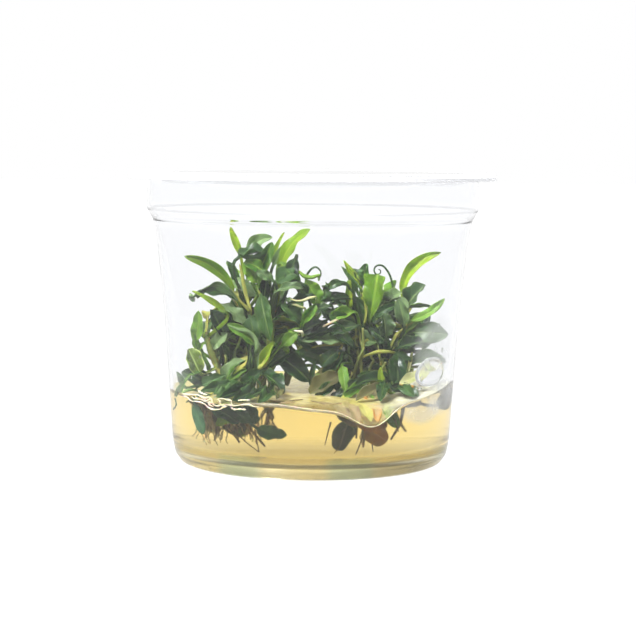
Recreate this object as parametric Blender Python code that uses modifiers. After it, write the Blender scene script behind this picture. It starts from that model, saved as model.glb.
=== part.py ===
"""Tissue-culture Bucephalandra: two rooted tufts in nutrient gel, sealed in a clear cup.

Units are metres and +Z is up. The origin is the centre of the foot ring on the
ground, and the front of the cup faces -Y. Sizes below are in millimetres.
"""
import math
from typing import NamedTuple

import bmesh
import bpy
from mathutils import Vector

MM = 0.001
GAP = 0.3

# Cup: outer radii and heights
RIM_STEPS = 40
FLANGE_RADIUS = 47.5
FLANGE_TOP = 74.6
FLANGE_THICK = 0.7
LIP_DROP = 0.5
LIP_WIDTH = 0.7
COLLAR_RADIUS = 43.0
COLLAR_BOTTOM = 65.8
SHOULDER_RADIUS = 41.4
SHOULDER_BOTTOM = 62.9
WALL = 0.9
BODY = [(40.2, 56.0), (38.2, 36.0), (36.8, 16.0), (36.2, 6.5)]
CORNER = [(35.4, 2.6), (34.0, 0.6)]
FOOT_OUTER = 32.6
FOOT_INNER = 31.0
FLOOR_UNDER = 3.0
FLOOR_TOP = 3.9
FLOOR_EDGE = 30.2
INNER_CORNER = [(33.2, 4.4), (34.7, 6.2)]

# Seal film on the flange
FILM_RADIUS = 47.2
FILM_THICK = 0.3

# Gel: mean level, and the swells of its top as (x, y, height, reach)
GEL_STEPS = 26
GEL_LEVEL = 18.3
GEL_RINGS = [0.0, 8.0, 16.0, 24.0, 31.0]
GEL_CREEP = 0.7
CREEP_POWER = 12
GEL_WAIST = 11.0
GEL_SWELLS = [(13.0, -34.0, -5.2, 11.0), (34.0, 2.0, 1.6, 10.0), (-14.0, -34.0, 1.0, 12.0)]

# Plant
STEM_SIDES = 2
STEM_RADIUS = 0.85
STEM_TAPER = (1.3, 1.15, 1.0, 0.7)
RHIZOME_RADIUS = 1.6
ROOT_RADIUS = 0.45
END_SHARE = 0.6
LEAF_THICK = 0.5
PETIOLE_WIDTH = 0.9
TIP_WIDTH = 0.3
BLADE_RISE = 0.6
BLADE_FALL = 0.9
PETIOLE_CUTS = 2
BLADE_CUTS = 5
BROAD_LEAF = 4.1

COLOURS = {
    "clear_plastic": ((0.93, 0.95, 0.94), 0.08),
    "film": ((0.96, 0.97, 0.97), 0.12),
    "gel": ((0.86, 0.74, 0.45), 0.25),
    "rhizome": ((0.30, 0.24, 0.12), 0.60),
    "stem": ((0.42, 0.42, 0.14), 0.45),
    "lime": ((0.42, 0.62, 0.10), 0.38),
    "green": ((0.18, 0.36, 0.09), 0.38),
    "dark": ((0.05, 0.13, 0.06), 0.32),
    "grey": ((0.16, 0.27, 0.17), 0.35),
    "pale": ((0.45, 0.52, 0.42), 0.50),
}

RHIZOMES = {
    "left": [(-26.0, -4.0, 16.8), (-20.0, -2.5, 17.5), (-13.0, -2.0, 17.5), (-5.0, 1.5, 16.9)],
    "right": [(8.0, -1.0, 16.7), (13.0, -2.5, 17.4), (17.0, -1.0, 17.4), (22.5, -2.5, 16.8)],
}

# Roots: each starts inside its rhizome and runs down through the gel
ROOTS = {
    "left": [
        [(-22.0, -3.0, 17.2), (-22.5, -6.5, 13.0), (-21.0, -9.0, 9.5)],
        [(-18.5, -2.4, 17.4), (-18.0, -6.5, 12.0), (-15.0, -9.5, 7.0)],
        [(-15.5, -2.2, 17.4), (-13.5, -5.0, 12.0), (-9.5, -8.5, 6.0)],
        [(-17.0, -2.3, 17.4), (-17.5, 2.5, 12.5), (-19.0, 5.5, 8.0)],
        [(-9.5, -0.5, 17.2), (-8.0, 3.5, 12.5), (-9.0, 6.5, 8.5)],
    ],
    "right": [
        [(11.0, -1.9, 17.2), (9.5, -6.0, 12.5), (9.5, -9.5, 8.5)],
        [(14.5, -1.9, 17.4), (13.5, -6.5, 12.0), (12.5, -10.5, 7.5)],
        [(18.5, -1.4, 17.2), (18.5, -6.0, 12.0), (17.0, -9.5, 8.0)],
        [(16.0, -1.4, 17.4), (16.5, 3.5, 12.5), (17.5, 7.0, 8.5)],
    ],
}

STEMS = {
    "left_stem_1": [(-23.3, -3.3, 19.6), (-23.9, -4.6, 24.0), (-25.9, -6.0, 28.8), (-27.2, -6.6, 33.5)],
    "left_stem_2": [(-18.4, -2.3, 19.6), (-17.2, -1.2, 26.0), (-16.3, -0.4, 34.0), (-16.8, 0.0, 42.0)],
    "left_stem_3": [(-13.0, -2.0, 19.6), (-12.0, -2.2, 25.0), (-10.6, -1.8, 33.0), (-9.6, -1.0, 40.5)],
    "left_stem_4": [(-7.0, 0.6, 19.7), (-4.9, 0.8, 25.0), (-1.6, 0.2, 30.5), (0.4, -0.4, 36.0)],
    "right_stem_1": [(11.0, -1.9, 19.5), (11.8, -2.8, 25.0), (12.6, -2.8, 31.0), (12.3, -2.0, 37.0)],
    "right_stem_2": [(15.8, -1.5, 19.5), (16.6, -0.6, 25.5), (17.2, 0.0, 32.0), (17.4, 0.4, 38.5)],
    "right_stem_3": [(20.0, -1.8, 19.4), (20.6, -2.6, 25.0), (22.2, -3.4, 30.5), (24.6, -3.2, 36.0)],
}


class Leaf(NamedTuple):
    """A leaf: where it leaves its stem, where the blade starts and ends, and how it lies."""
    stem: str
    share: float
    knee: tuple
    tip: tuple
    width: float
    face: tuple
    finish: str
    arch: float = 0.0
    sway: float = 0.0
    cup: float = 0.4


# Seen from the front, top to bottom, and then the leaves behind the stems
LEFT_LEAVES = [
    Leaf("left_stem_2", 0.97, (-18.9, 2.0, 53.5), (-21.4, 2.5, 60.8), 1.9, (0.2, -1.0, 0.2), "lime"),
    Leaf("left_stem_3", 0.98, (-8.4, -2.0, 50.0), (-0.6, -2.5, 60.6), 3.4, (-0.2, -1.0, 0.3), "lime", 0.3, -1.5),
    Leaf("left_stem_2", 0.90, (-16.4, 1.5, 53.0), (-10.4, 0.5, 58.2), 3.6, (0.0, -1.0, 0.5), "grey", 0.3, -1.6),
    Leaf("left_stem_2", 0.80, (-21.2, -2.0, 45.0), (-33.0, -4.0, 53.4), 2.4, (0.1, -1.0, 0.5), "lime", 0.6, 2.0),
    Leaf("left_stem_2", 0.72, (-19.8, -5.6, 43.0), (-29.6, -6.5, 44.4), 3.8, (0.1, -0.6, 0.9), "dark", 0.8),
    Leaf("left_stem_2", 0.48, (-22.4, -5.0, 33.2), (-26.2, -5.8, 39.8), 4.2, (0.2, -1.0, 0.3), "dark", 0.5),
    Leaf("left_stem_2", 0.52, (-17.2, -6.2, 36.4), (-23.4, -6.8, 41.4), 3.8, (0.2, -0.9, 0.5), "grey", 0.6),
    Leaf("left_stem_1", 0.50, (-30.2, -7.2, 32.0), (-29.0, -8.0, 39.7), 3.2, (0.0, -1.0, 0.0), "green", 0.3, 0.5),
    Leaf("left_stem_3", 0.50, (-14.4, -8.4, 31.0), (-21.6, -9.6, 36.4), 3.2, (0.2, -0.8, 0.6), "green", 0.9),
    Leaf("left_stem_1", 0.35, (-27.6, -9.4, 24.2), (-31.8, -10.0, 29.6), 3.8, (0.4, -0.8, 0.5), "lime", 0.3, 0.0, 1.1),
    Leaf("left_stem_1", 0.12, (-26.4, -8.0, 20.8), (-33.2, -8.4, 23.8), 4.3, (-0.1, -0.9, 0.5), "grey", 0.6),
    Leaf("left_stem_3", 0.74, (-13.0, -9.0, 43.4), (-10.3, -11.8, 32.4), 4.3, (-0.1, -1.0, 0.2), "grey", 1.6),
    Leaf("left_stem_3", 0.22, (-12.8, -9.4, 25.6), (-9.2, -11.2, 32.3), 2.4, (-0.3, -1.0, 0.3), "lime", 0.3),
    Leaf("left_stem_3", 0.36, (-8.8, -5.4, 28.0), (-0.4, -6.4, 21.4), 5.4, (0.3, -0.9, 0.4), "dark", 0.9),
    Leaf("left_stem_3", 0.10, (-12.4, -11.0, 23.8), (-6.9, -19.5, 19.8), 4.2, (0.3, -0.7, 0.7), "dark", 0.9),
    Leaf("left_stem_2", 0.10, (-17.2, -13.0, 21.6), (-24.2, -21.6, 19.8), 3.2, (0.0, -0.3, 1.0), "dark", 0.7),
    Leaf("left_stem_3", 0.92, (-9.0, -4.6, 47.4), (-3.2, -5.6, 49.6), 4.6, (0.0, -0.9, 0.5), "dark", 0.8),
    Leaf("left_stem_4", 0.98, (1.7, -4.0, 41.0), (-2.8, -5.0, 47.8), 3.2, (0.2, -1.0, 0.3), "lime", 0.4),
    Leaf("left_stem_4", 0.72, (-2.6, -6.2, 36.6), (-8.0, -7.2, 41.3), 3.8, (0.0, -0.8, 0.6), "dark", 0.7),
    Leaf("left_stem_2", 0.86, (-19.0, 6.5, 43.0), (-23.0, 11.5, 51.0), 4.0, (0.2, 0.8, 0.6), "green", 0.6),
    Leaf("left_stem_2", 0.66, (-17.0, 8.0, 40.5), (-14.5, 16.0, 45.0), 4.4, (0.0, 0.3, 1.0), "dark", 1.4),
    Leaf("left_stem_1", 0.70, (-28.0, 1.5, 31.5), (-30.5, 9.0, 35.5), 4.0, (-0.3, 0.8, 0.6), "dark", 0.8),
    Leaf("left_stem_2", 0.30, (-21.0, 8.0, 31.5), (-27.5, 15.5, 27.0), 4.6, (-0.3, 0.8, 0.7), "grey", 1.7),
    Leaf("left_stem_3", 0.80, (-8.5, 6.0, 42.5), (-5.5, 12.0, 50.0), 4.0, (0.0, 0.8, 0.5), "green", 0.6),
    Leaf("left_stem_4", 0.60, (-1.5, 7.0, 37.0), (1.5, 15.0, 35.0), 4.4, (0.2, 0.6, 0.9), "dark", 1.7),
    Leaf("left_stem_3", 0.40, (-11.0, 7.5, 30.5), (-9.5, 17.0, 24.0), 4.6, (0.0, 0.9, 0.6), "grey", 1.9),
]

RIGHT_LEAVES = [
    Leaf("right_stem_1", 0.97, (12.4, 0.4, 45.5), (8.2, 0.4, 52.2), 1.7, (0.1, -1.0, 0.3), "lime"),
    Leaf("right_stem_3", 0.97, (24.2, -1.2, 45.0), (33.2, -1.4, 54.5), 3.1, (-0.2, -1.0, 0.4), "lime", 0.4, -1.4),
    Leaf("right_stem_2", 0.78, (15.2, -6.0, 38.4), (17.3, -6.6, 49.6), 5.5, (0.0, -1.0, 0.3), "green", 0.6),
    Leaf("right_stem_1", 0.85, (9.6, -3.6, 40.0), (9.2, -4.2, 47.6), 2.0, (0.2, -1.0, 0.1), "lime"),
    Leaf("right_stem_3", 0.88, (25.2, -5.0, 41.2), (30.0, -5.6, 46.8), 4.2, (-0.2, -0.9, 0.5), "grey", 0.6),
    Leaf("right_stem_3", 0.80, (25.8, -8.0, 36.9), (33.6, -8.6, 43.3), 2.2, (-0.2, -0.8, 0.6), "green", 0.4, -0.8),
    Leaf("right_stem_3", 0.64, (26.2, -5.4, 33.0), (34.6, -6.4, 34.8), 5.0, (0.1, -0.9, 0.5), "pale", 0.9),
    Leaf("right_stem_3", 0.48, (22.6, -8.6, 30.6), (28.8, -9.6, 32.0), 3.6, (0.1, -0.8, 0.6), "dark", 0.7),
    Leaf("right_stem_2", 0.52, (18.9, -9.6, 34.0), (18.0, -11.0, 39.8), 4.3, (0.1, -1.0, 0.3), "grey", 0.5),
    Leaf("right_stem_3", 0.36, (21.6, -8.0, 28.2), (22.2, -10.4, 20.6), 4.6, (0.1, -1.0, 0.2), "dark", 0.9),
    Leaf("right_stem_2", 0.16, (18.2, -11.0, 22.6), (11.2, -13.4, 21.6), 3.2, (0.0, -0.7, 0.8), "dark", 0.8),
    Leaf("right_stem_3", 0.08, (21.6, -13.0, 20.6), (27.0, -18.0, 18.9), 3.4, (0.1, -0.5, 0.9), "dark", 0.6),
    Leaf("right_stem_1", 0.70, (9.8, -5.6, 34.8), (4.6, -6.6, 39.4), 4.2, (0.1, -0.9, 0.5), "dark", 0.6),
    Leaf("right_stem_1", 0.50, (8.0, -7.0, 32.4), (-2.6, -8.4, 32.0), 4.2, (0.0, -0.9, 0.6), "grey", 0.9),
    Leaf("right_stem_3", 0.24, (25.6, -3.0, 25.0), (34.6, 1.0, 25.6), 4.0, (0.1, -0.4, 1.0), "grey", 1.2),
    Leaf("right_stem_2", 0.92, (19.0, 6.5, 40.0), (22.5, 12.5, 46.5), 4.2, (0.0, 0.8, 0.5), "green", 0.6),
    Leaf("right_stem_1", 0.80, (9.0, 5.5, 37.5), (5.5, 12.5, 42.0), 4.0, (-0.2, 0.7, 0.8), "dark", 0.9),
    Leaf("right_stem_3", 0.70, (27.5, 4.5, 33.5), (31.0, 11.0, 37.5), 4.0, (0.4, 0.7, 0.5), "dark", 0.7),
    Leaf("right_stem_2", 0.62, (16.8, 8.5, 36.0), (14.0, 17.5, 33.5), 4.6, (0.0, 0.6, 0.9), "grey", 1.7),
    Leaf("right_stem_1", 0.40, (8.5, 7.0, 29.5), (4.5, 15.5, 24.0), 4.4, (-0.1, 0.9, 0.6), "dark", 1.7),
    Leaf("right_stem_2", 0.34, (20.0, 7.5, 30.0), (25.0, 15.5, 24.5), 4.6, (0.2, 0.9, 0.6), "dark", 1.9),
    Leaf("right_stem_1", 0.30, (7.8, -8.6, 25.6), (8.6, -12.4, 19.6), 2.8, (0.1, -1.0, 0.2), "green", 0.8),
]


def new_collection(name):
    """Link a new collection to the scene and return it."""
    collection = bpy.data.collections.new(name)
    bpy.context.scene.collection.children.link(collection)
    return collection


def move_to(obj, collection):
    """Keep the object in this collection alone."""
    for other in list(obj.users_collection):
        other.objects.unlink(obj)
    collection.objects.link(obj)


def material(name):
    """Return the plain finish with this name, made on its first use."""
    found = bpy.data.materials.get(name)
    if found:
        return found
    colour, roughness = COLOURS[name]
    made = bpy.data.materials.new(name)
    made.use_nodes = True
    shader = made.node_tree.nodes["Principled BSDF"]
    shader.inputs["Base Color"].default_value = (*colour, 1.0)
    shader.inputs["Roughness"].default_value = roughness
    shader.inputs["Metallic"].default_value = 0.0
    return made


def finish_mesh(obj, name, finish, collection):
    """Name the object, give it its finish and keep it in the collection."""
    obj.name = name
    obj.data.name = name
    obj.data.materials.clear()
    obj.data.materials.append(material(finish))
    move_to(obj, collection)
    return obj


def evaluated_mesh(obj):
    """Return a new mesh with the object's modifiers, or its curve's bevel, made real."""
    graph = bpy.context.evaluated_depsgraph_get()
    return bpy.data.meshes.new_from_object(obj.evaluated_get(graph))


def weld(mesh):
    """Merge the mesh's doubled points, such as those of a curve's caps."""
    work = bmesh.new()
    work.from_mesh(mesh)
    bmesh.ops.remove_doubles(work, verts=work.verts, dist=1e-6)
    work.to_mesh(mesh)
    work.free()


def turned(name, profile, steps):
    """Turn an open profile of (radius, height) points about Z with a Screw modifier."""
    mesh = bpy.data.meshes.new(name)
    points = [(radius * MM, 0.0, height * MM) for radius, height in profile]
    edges = [(i, i + 1) for i in range(len(points) - 1)]
    mesh.from_pydata(points, edges, [])
    obj = bpy.data.objects.new(name, mesh)
    bpy.context.scene.collection.objects.link(obj)
    screw = obj.modifiers.new("turn", "SCREW")
    screw.steps = steps
    screw.render_steps = steps
    screw.use_merge_vertices = True
    screw.merge_threshold = 0.00001
    screw.use_smooth_shade = True
    return obj


def inner_wall():
    """Return the inside of the tapered body as (radius, height) points from the floor up."""
    return INNER_CORNER + [(radius - WALL, height) for radius, height in reversed(BODY[:-1])]


def inner_radius(height):
    """Return the radius of the cup's inside at a height on its tapered body."""
    wall = inner_wall()
    for (low_radius, low), (high_radius, high) in zip(wall, wall[1:]):
        if height <= high:
            share = (height - low) / (high - low)
            return low_radius + share * (high_radius - low_radius)
    return wall[-1][0]


def cup_profile():
    """Return the cup's profile from the middle of its floor, up inside and down outside."""
    inner = [(0.0, FLOOR_TOP), (FLOOR_EDGE, FLOOR_TOP)]
    inner += inner_wall()
    inner.append((SHOULDER_RADIUS - WALL, SHOULDER_BOTTOM))
    inner.append((COLLAR_RADIUS - WALL, COLLAR_BOTTOM))
    inner.append((COLLAR_RADIUS - WALL, FLANGE_TOP))
    flange_under = FLANGE_TOP - FLANGE_THICK
    flange = [
        (FLANGE_RADIUS, FLANGE_TOP),
        (FLANGE_RADIUS, flange_under - LIP_DROP),
        (FLANGE_RADIUS - LIP_WIDTH, flange_under - LIP_DROP),
        (FLANGE_RADIUS - LIP_WIDTH, flange_under),
    ]
    outer = [
        (COLLAR_RADIUS, flange_under),
        (COLLAR_RADIUS, COLLAR_BOTTOM),
        (SHOULDER_RADIUS, SHOULDER_BOTTOM),
    ]
    outer += BODY + CORNER
    foot = [(FOOT_OUTER, 0.0), (FOOT_INNER, 0.0), (FLOOR_EDGE, FLOOR_UNDER), (0.0, FLOOR_UNDER)]
    return inner + flange + outer + foot


def make_cup(collection):
    """Make the clear cup as one turned wall."""
    cup = turned("cup", cup_profile(), RIM_STEPS)
    return finish_mesh(cup, "cup", "clear_plastic", collection)


def make_seal_film(collection):
    """Make the film that lies on the flange."""
    middle = FLANGE_TOP + GAP + FILM_THICK / 2
    bpy.ops.mesh.primitive_cylinder_add(
        vertices=RIM_STEPS, radius=FILM_RADIUS * MM, depth=FILM_THICK * MM, location=(0, 0, middle * MM))
    return finish_mesh(bpy.context.object, "seal_film", "film", collection)


def gel_top(x, y):
    """Return the height of the gel's top over a point: the level, the swells and the creep at the wall."""
    height = GEL_LEVEL
    for centre_x, centre_y, rise, reach in GEL_SWELLS:
        distance = math.hypot(x - centre_x, y - centre_y)
        height += rise * math.exp(-(distance / reach) ** 2)
    wall_share = math.hypot(x, y) / inner_radius(GEL_LEVEL)
    return height + GEL_CREEP * wall_share ** CREEP_POWER


def make_gel(collection, cutters):
    """Turn the gel, shape its top, and open it round the rhizomes and roots."""
    top = [(radius, GEL_LEVEL) for radius in GEL_RINGS]
    edge = inner_radius(GEL_LEVEL) - GAP
    side = [(edge, GEL_LEVEL), (inner_radius(GEL_WAIST) - GAP, GEL_WAIST)]
    side += [(radius - GAP, height + GAP) for radius, height in reversed(INNER_CORNER)]
    floor = [(FLOOR_EDGE, FLOOR_TOP + GAP), (0.0, FLOOR_TOP + GAP)]
    rough = turned("gel_rough", top + side + floor, GEL_STEPS)
    mesh = evaluated_mesh(rough)
    bpy.data.objects.remove(rough)
    for vertex in mesh.vertices:
        if abs(vertex.co.z / MM - GEL_LEVEL) > GAP / 10:
            continue
        radius = math.hypot(vertex.co.x, vertex.co.y) / MM
        height = gel_top(vertex.co.x / MM, vertex.co.y / MM)
        if radius > (GEL_RINGS[-1] + edge) / 2:
            spread = (inner_radius(height) - GAP) / radius
            vertex.co.x *= spread
            vertex.co.y *= spread
        vertex.co.z = height * MM
    gel = bpy.data.objects.new("gel", mesh)
    collection.objects.link(gel)
    for cutter in cutters:
        cut = gel.modifiers.new("open " + cutter.name, "BOOLEAN")
        cut.operation = "DIFFERENCE"
        cut.object = cutter
    return finish_mesh(gel, "gel", "gel", collection)


def tube(name, points, radii):
    """Make a round tube through points in millimetres, with a radius at each, as a mesh object."""
    curve = bpy.data.curves.new(name, "CURVE")
    curve.dimensions = "3D"
    curve.bevel_depth = MM
    curve.bevel_resolution = STEM_SIDES
    curve.use_fill_caps = True
    spline = curve.splines.new("POLY")
    spline.points.add(len(points) - 1)
    for target, point, radius in zip(spline.points, points, radii):
        target.co = (*(value * MM for value in point), 1.0)
        target.radius = radius
    guide = bpy.data.objects.new(name, curve)
    bpy.context.scene.collection.objects.link(guide)
    mesh = evaluated_mesh(guide)
    weld(mesh)
    bpy.data.objects.remove(guide)
    mesh.shade_smooth()
    obj = bpy.data.objects.new(name, mesh)
    bpy.context.scene.collection.objects.link(obj)
    return obj


def hide_tool(obj, collection):
    """Keep a shape that only joins or cuts out of the finished object."""
    obj.hide_render = True
    obj.display_type = "WIRE"
    move_to(obj, collection)
    return obj


def lengthened(points, start, end):
    """Return the points with the first and the last moved outwards along the line by these lengths."""
    points = [Vector(point) for point in points]
    points[0] += (points[0] - points[1]).normalized() * start
    points[-1] += (points[-1] - points[-2]).normalized() * end
    return points


def rhizome_tubes(side, growth):
    """Return the rhizome and its roots as tubes, each thicker and longer by the growth."""
    body_points = lengthened(RHIZOMES[side], growth, growth)
    ends = RHIZOME_RADIUS * END_SHARE + growth
    middle = RHIZOME_RADIUS + growth
    body = tube(side + "_body", body_points, [ends, middle, middle, ends])
    roots = []
    for number, points in enumerate(ROOTS[side]):
        radii = [ROOT_RADIUS + growth, ROOT_RADIUS + growth, ROOT_RADIUS * END_SHARE + growth]
        roots.append(tube(f"{side}_root_{number + 1}", lengthened(points, 0.0, growth), radii))
    return body, roots


def make_rhizome(side, collection, tools):
    """Join a rhizome with its thick roots."""
    body, roots = rhizome_tubes(side, 0.0)
    for root in roots:
        hide_tool(root, tools)
        join = body.modifiers.new("join " + root.name, "BOOLEAN")
        join.operation = "UNION"
        join.object = root
    return finish_mesh(body, side + "_rhizome", "rhizome", collection)


def rhizome_cutters(side, tools):
    """Return the shapes that open the gel round a rhizome and its roots."""
    body, roots = rhizome_tubes(side, GAP)
    return [hide_tool(piece, tools) for piece in [body] + roots]


def make_stems(collection):
    """Make each shoot as a tapered tube that stands just off its rhizome."""
    for name, points in STEMS.items():
        radii = [STEM_RADIUS * share for share in STEM_TAPER]
        stem = tube(name, points, radii)
        finish_mesh(stem, name, "stem", collection)


def stem_point(name, share):
    """Return the point of a stem's middle line at a share of its height."""
    points = [Vector(point) for point in STEMS[name]]
    place = share * (len(points) - 1)
    index = min(int(place), len(points) - 2)
    return points[index].lerp(points[index + 1], place - index)


def leaf_spine(leaf):
    """Return the points and the sideways directions of a leaf from its stem to its tip.

    The petiole is a cubic curve from the stem's skin to the knee. The blade is a
    quadratic curve whose middle stands off its chord by the arch and the sway.
    """
    knee, tip, face = Vector(leaf.knee), Vector(leaf.tip), Vector(leaf.face)
    root = stem_point(leaf.stem, leaf.share)
    outward = Vector((knee.x - root.x, knee.y - root.y, 0.0)).normalized()
    root += outward * (STEM_RADIUS * STEM_TAPER[0] + GAP + LEAF_THICK / 2)
    chord = tip - knee
    side = chord.cross(face).normalized()
    normal = side.cross(chord).normalized()
    bulge = (knee + tip) / 2 + 2 * (normal * leaf.arch + side * leaf.sway)
    start = (bulge - knee).normalized()
    reach = (knee - root).length / 3
    climb = (outward + Vector((0.0, 0.0, 1.0))).normalized()
    first, second = root + climb * reach, knee - start * reach
    points = []
    for i in range(PETIOLE_CUTS):
        t = i / PETIOLE_CUTS
        s = 1 - t
        points.append(s ** 3 * root + 3 * s * s * t * first + 3 * s * t * t * second + t ** 3 * knee)
    for i in range(BLADE_CUTS + 1):
        t = i / BLADE_CUTS
        s = 1 - t
        points.append(s * s * knee + 2 * s * t * bulge + t * t * tip)
    return points, side


def blade_share(u):
    """Return the blade's width at a share of its length, widest at two fifths of it."""
    widest = BLADE_RISE / (BLADE_RISE + BLADE_FALL)
    peak = widest ** BLADE_RISE * (1 - widest) ** BLADE_FALL
    return u ** BLADE_RISE * (1 - u) ** BLADE_FALL / peak


def make_leaf(name, leaf, collection):
    """Bend a flat grid along the leaf's spine and give it its thickness."""
    points, side = leaf_spine(leaf)
    rows = len(points) - 1
    columns = 4 if leaf.width > BROAD_LEAF else 2
    bpy.ops.mesh.primitive_grid_add(x_subdivisions=rows, y_subdivisions=columns, size=1.0)
    obj = bpy.context.object
    for vertex in obj.data.vertices:
        row = round((vertex.co.x + 0.5) * rows)
        across = 2 * vertex.co.y
        ahead = points[min(row + 1, rows)] - points[max(row - 1, 0)]
        ahead.normalize()
        sideways = (side - ahead * side.dot(ahead)).normalized()
        up = sideways.cross(ahead)
        blade = max(row - PETIOLE_CUTS, 0) / BLADE_CUTS
        width = max(leaf.width * blade_share(blade), TIP_WIDTH)
        if row <= PETIOLE_CUTS:
            width = PETIOLE_WIDTH
        lift = leaf.cup * across * across * width / leaf.width
        vertex.co = (points[row] + sideways * across * width / 2 + up * lift) * MM
    wall = obj.modifiers.new("thickness", "SOLIDIFY")
    wall.thickness = LEAF_THICK * MM
    wall.offset = 0.0
    obj.data.shade_smooth()
    return finish_mesh(obj, name, leaf.finish, collection)


def main():
    """Make every piece of the object."""
    for obj in list(bpy.data.objects):
        bpy.data.objects.remove(obj)
    pieces = new_collection("tissue_culture_bucephalandra")
    tools = new_collection("joining_and_cutting_shapes")
    make_cup(pieces)
    make_seal_film(pieces)
    cutters = rhizome_cutters("left", tools) + rhizome_cutters("right", tools)
    make_gel(pieces, cutters)
    make_rhizome("left", pieces, tools)
    make_rhizome("right", pieces, tools)
    make_stems(pieces)
    for prefix, leaves in (("left_leaf", LEFT_LEAVES), ("right_leaf", RIGHT_LEAVES)):
        for number, leaf in enumerate(leaves):
            make_leaf(f"{prefix}_{number + 1:02d}", leaf, pieces)


main()
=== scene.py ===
"""Looks of the tissue culture bucephalandra: a sealed clear cup, nutrient gel and two leafy tufts.

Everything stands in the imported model's own frame, with +Z up and the cup's front
towards -Y. Shapes are worked out in millimetres, as in the part's source, and
finishes read the object's own coordinates in metres.
"""

import math
from typing import NamedTuple

import bpy
import numpy as np
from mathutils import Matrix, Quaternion, Vector


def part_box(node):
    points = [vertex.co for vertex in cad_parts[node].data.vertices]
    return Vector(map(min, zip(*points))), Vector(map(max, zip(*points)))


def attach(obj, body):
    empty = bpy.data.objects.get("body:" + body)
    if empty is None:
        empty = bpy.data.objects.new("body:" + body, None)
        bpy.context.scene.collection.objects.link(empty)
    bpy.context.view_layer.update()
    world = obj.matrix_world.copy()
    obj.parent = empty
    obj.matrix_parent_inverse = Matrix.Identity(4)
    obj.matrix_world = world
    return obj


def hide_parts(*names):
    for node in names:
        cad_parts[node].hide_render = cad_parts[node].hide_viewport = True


bl_info = {
    "name": "Tissue culture bucephalandra",
    "version": (1, 0, 0),
    "blender": (4, 5, 0),
    "location": "View3D > Sidebar > Bucephalandra",
    "description": "Dresses the packed cup, gel and plants with fine shapes and finishes",
    "category": "Add Mesh",
}

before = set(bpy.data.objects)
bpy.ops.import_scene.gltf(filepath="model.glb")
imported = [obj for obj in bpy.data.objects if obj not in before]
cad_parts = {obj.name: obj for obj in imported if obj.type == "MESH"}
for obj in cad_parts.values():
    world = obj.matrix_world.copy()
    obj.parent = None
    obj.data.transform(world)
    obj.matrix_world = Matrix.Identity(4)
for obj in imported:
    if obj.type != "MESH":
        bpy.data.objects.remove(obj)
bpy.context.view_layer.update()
BODY = "root"
MM = 0.001
SEED = 7
WHITE = (1.0, 1.0, 1.0)

# Cup, in millimetres
WALL = 0.9
FLANGE_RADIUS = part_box("cup")[1].x / MM
FLANGE_TOP = 74.6
FLANGE_THICK = 0.7
LIP_DROP = 0.5
LIP_WIDTH = 0.7
COLLAR_RADIUS = 43.0
COLLAR_BOTTOM = 65.8
SHOULDER_RADIUS = 41.4
SHOULDER_BOTTOM = 62.9
SIDE = [(40.2, 56.0), (38.2, 36.0), (36.8, 16.0), (36.2, 6.5)]
CORNER = [(35.4, 2.6), (34.0, 0.6)]
FOOT_OUTER = 32.6
FOOT_INNER = 31.0
FLOOR_UNDER = 3.0
FLOOR_TOP = 3.9
FLOOR_EDGE = 30.2
INNER_CORNER = [(33.2, 4.4), (34.7, 6.2)]
RIDGE_HALF = 0.7
RIDGE_DEPTH = 0.15
RIDGE_STEPS = 13
RIDGE_SLOPE = (COLLAR_RADIUS - SHOULDER_RADIUS) / (COLLAR_BOTTOM - SHOULDER_BOTTOM)
FILLET = 0.4
FILLET_STEPS = 6
SEAL_MARGIN = 0.3
FILM_RINGS = 40

# Plastic's finish: a band runs along an axis in metres, and the foot's edge in metres squared
PLASTIC_IOR = 1.36
PLASTIC_GLOSS = 0.05
PLASTIC_INNER = (0.80, 0.84, 0.86)
WALL_ROUGHNESS = 0.02
FILM_ROUGHNESS = 0.04
SEAL_ROUGHNESS = 0.35
SEAL_FROST = 0.85
# Painted glow of frosted plastic, which lightens its shaded side
FROST_PAINTED_GLOW = 0.28
WET_TINT = (0.985, 0.98, 0.965)
WET_BAND = (0.0145, 0.0215)
RING_TINT = (0.932, 0.936, 0.946)
RING_STARTS, RING_STOPS = (0.0600, 0.0622), (0.0662, 0.0680)
# Painted light on the foot: amber and grey-green bands for the light of the gel and plants seen through it,
# and a faint painted glow
FOOT_PAINTED_AMBER = (0.75, 0.66, 0.38)
FOOT_PAINTED_GREY = (0.60, 0.61, 0.39)
BASE_TURN = 2 * math.pi / 0.0275
BASE_START = BASE_TURN * 0.017
BASE_WANDER = 1.6
BASE_STEP = (-0.1, 0.7)
FOOT_FROST = 0.18
FOOT_PAINTED_GLOW = 0.06
FOOT_BAND = (0.0052, 0.0062)
FOOT_EDGE = (0.0294 ** 2, 0.0302 ** 2)
FOOT_FRONT = (-0.014, 0.008)

# Gel, in millimetres: swells are (x, y, rise, reach)
GEL_LEVEL = 18.3
GEL_GAP = -0.04
GEL_SWELLS = [
    (15.6, -34.0, -6.0, 7.4),
    (2.0, -37.0, -1.1, 10.0),
    (34.0, -8.0, 2.8, 11.0),
    (-24.0, -29.0, -1.2, 6.0),
]
GEL_RIPPLE = 0.16
GEL_RIPPLE_TURNS = (0.33, 0.41)
GEL_RIPPLE_STARTS = (1.0, 0.4)
CREEP = 1.1
CREEP_REACH = 1.3
SKIN_DEPTH = 0.15
TOP_RINGS = 72
TOP_CROWDS = 1.6
SIDE_RINGS = 30
EDGE_TURNS = 4

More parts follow.
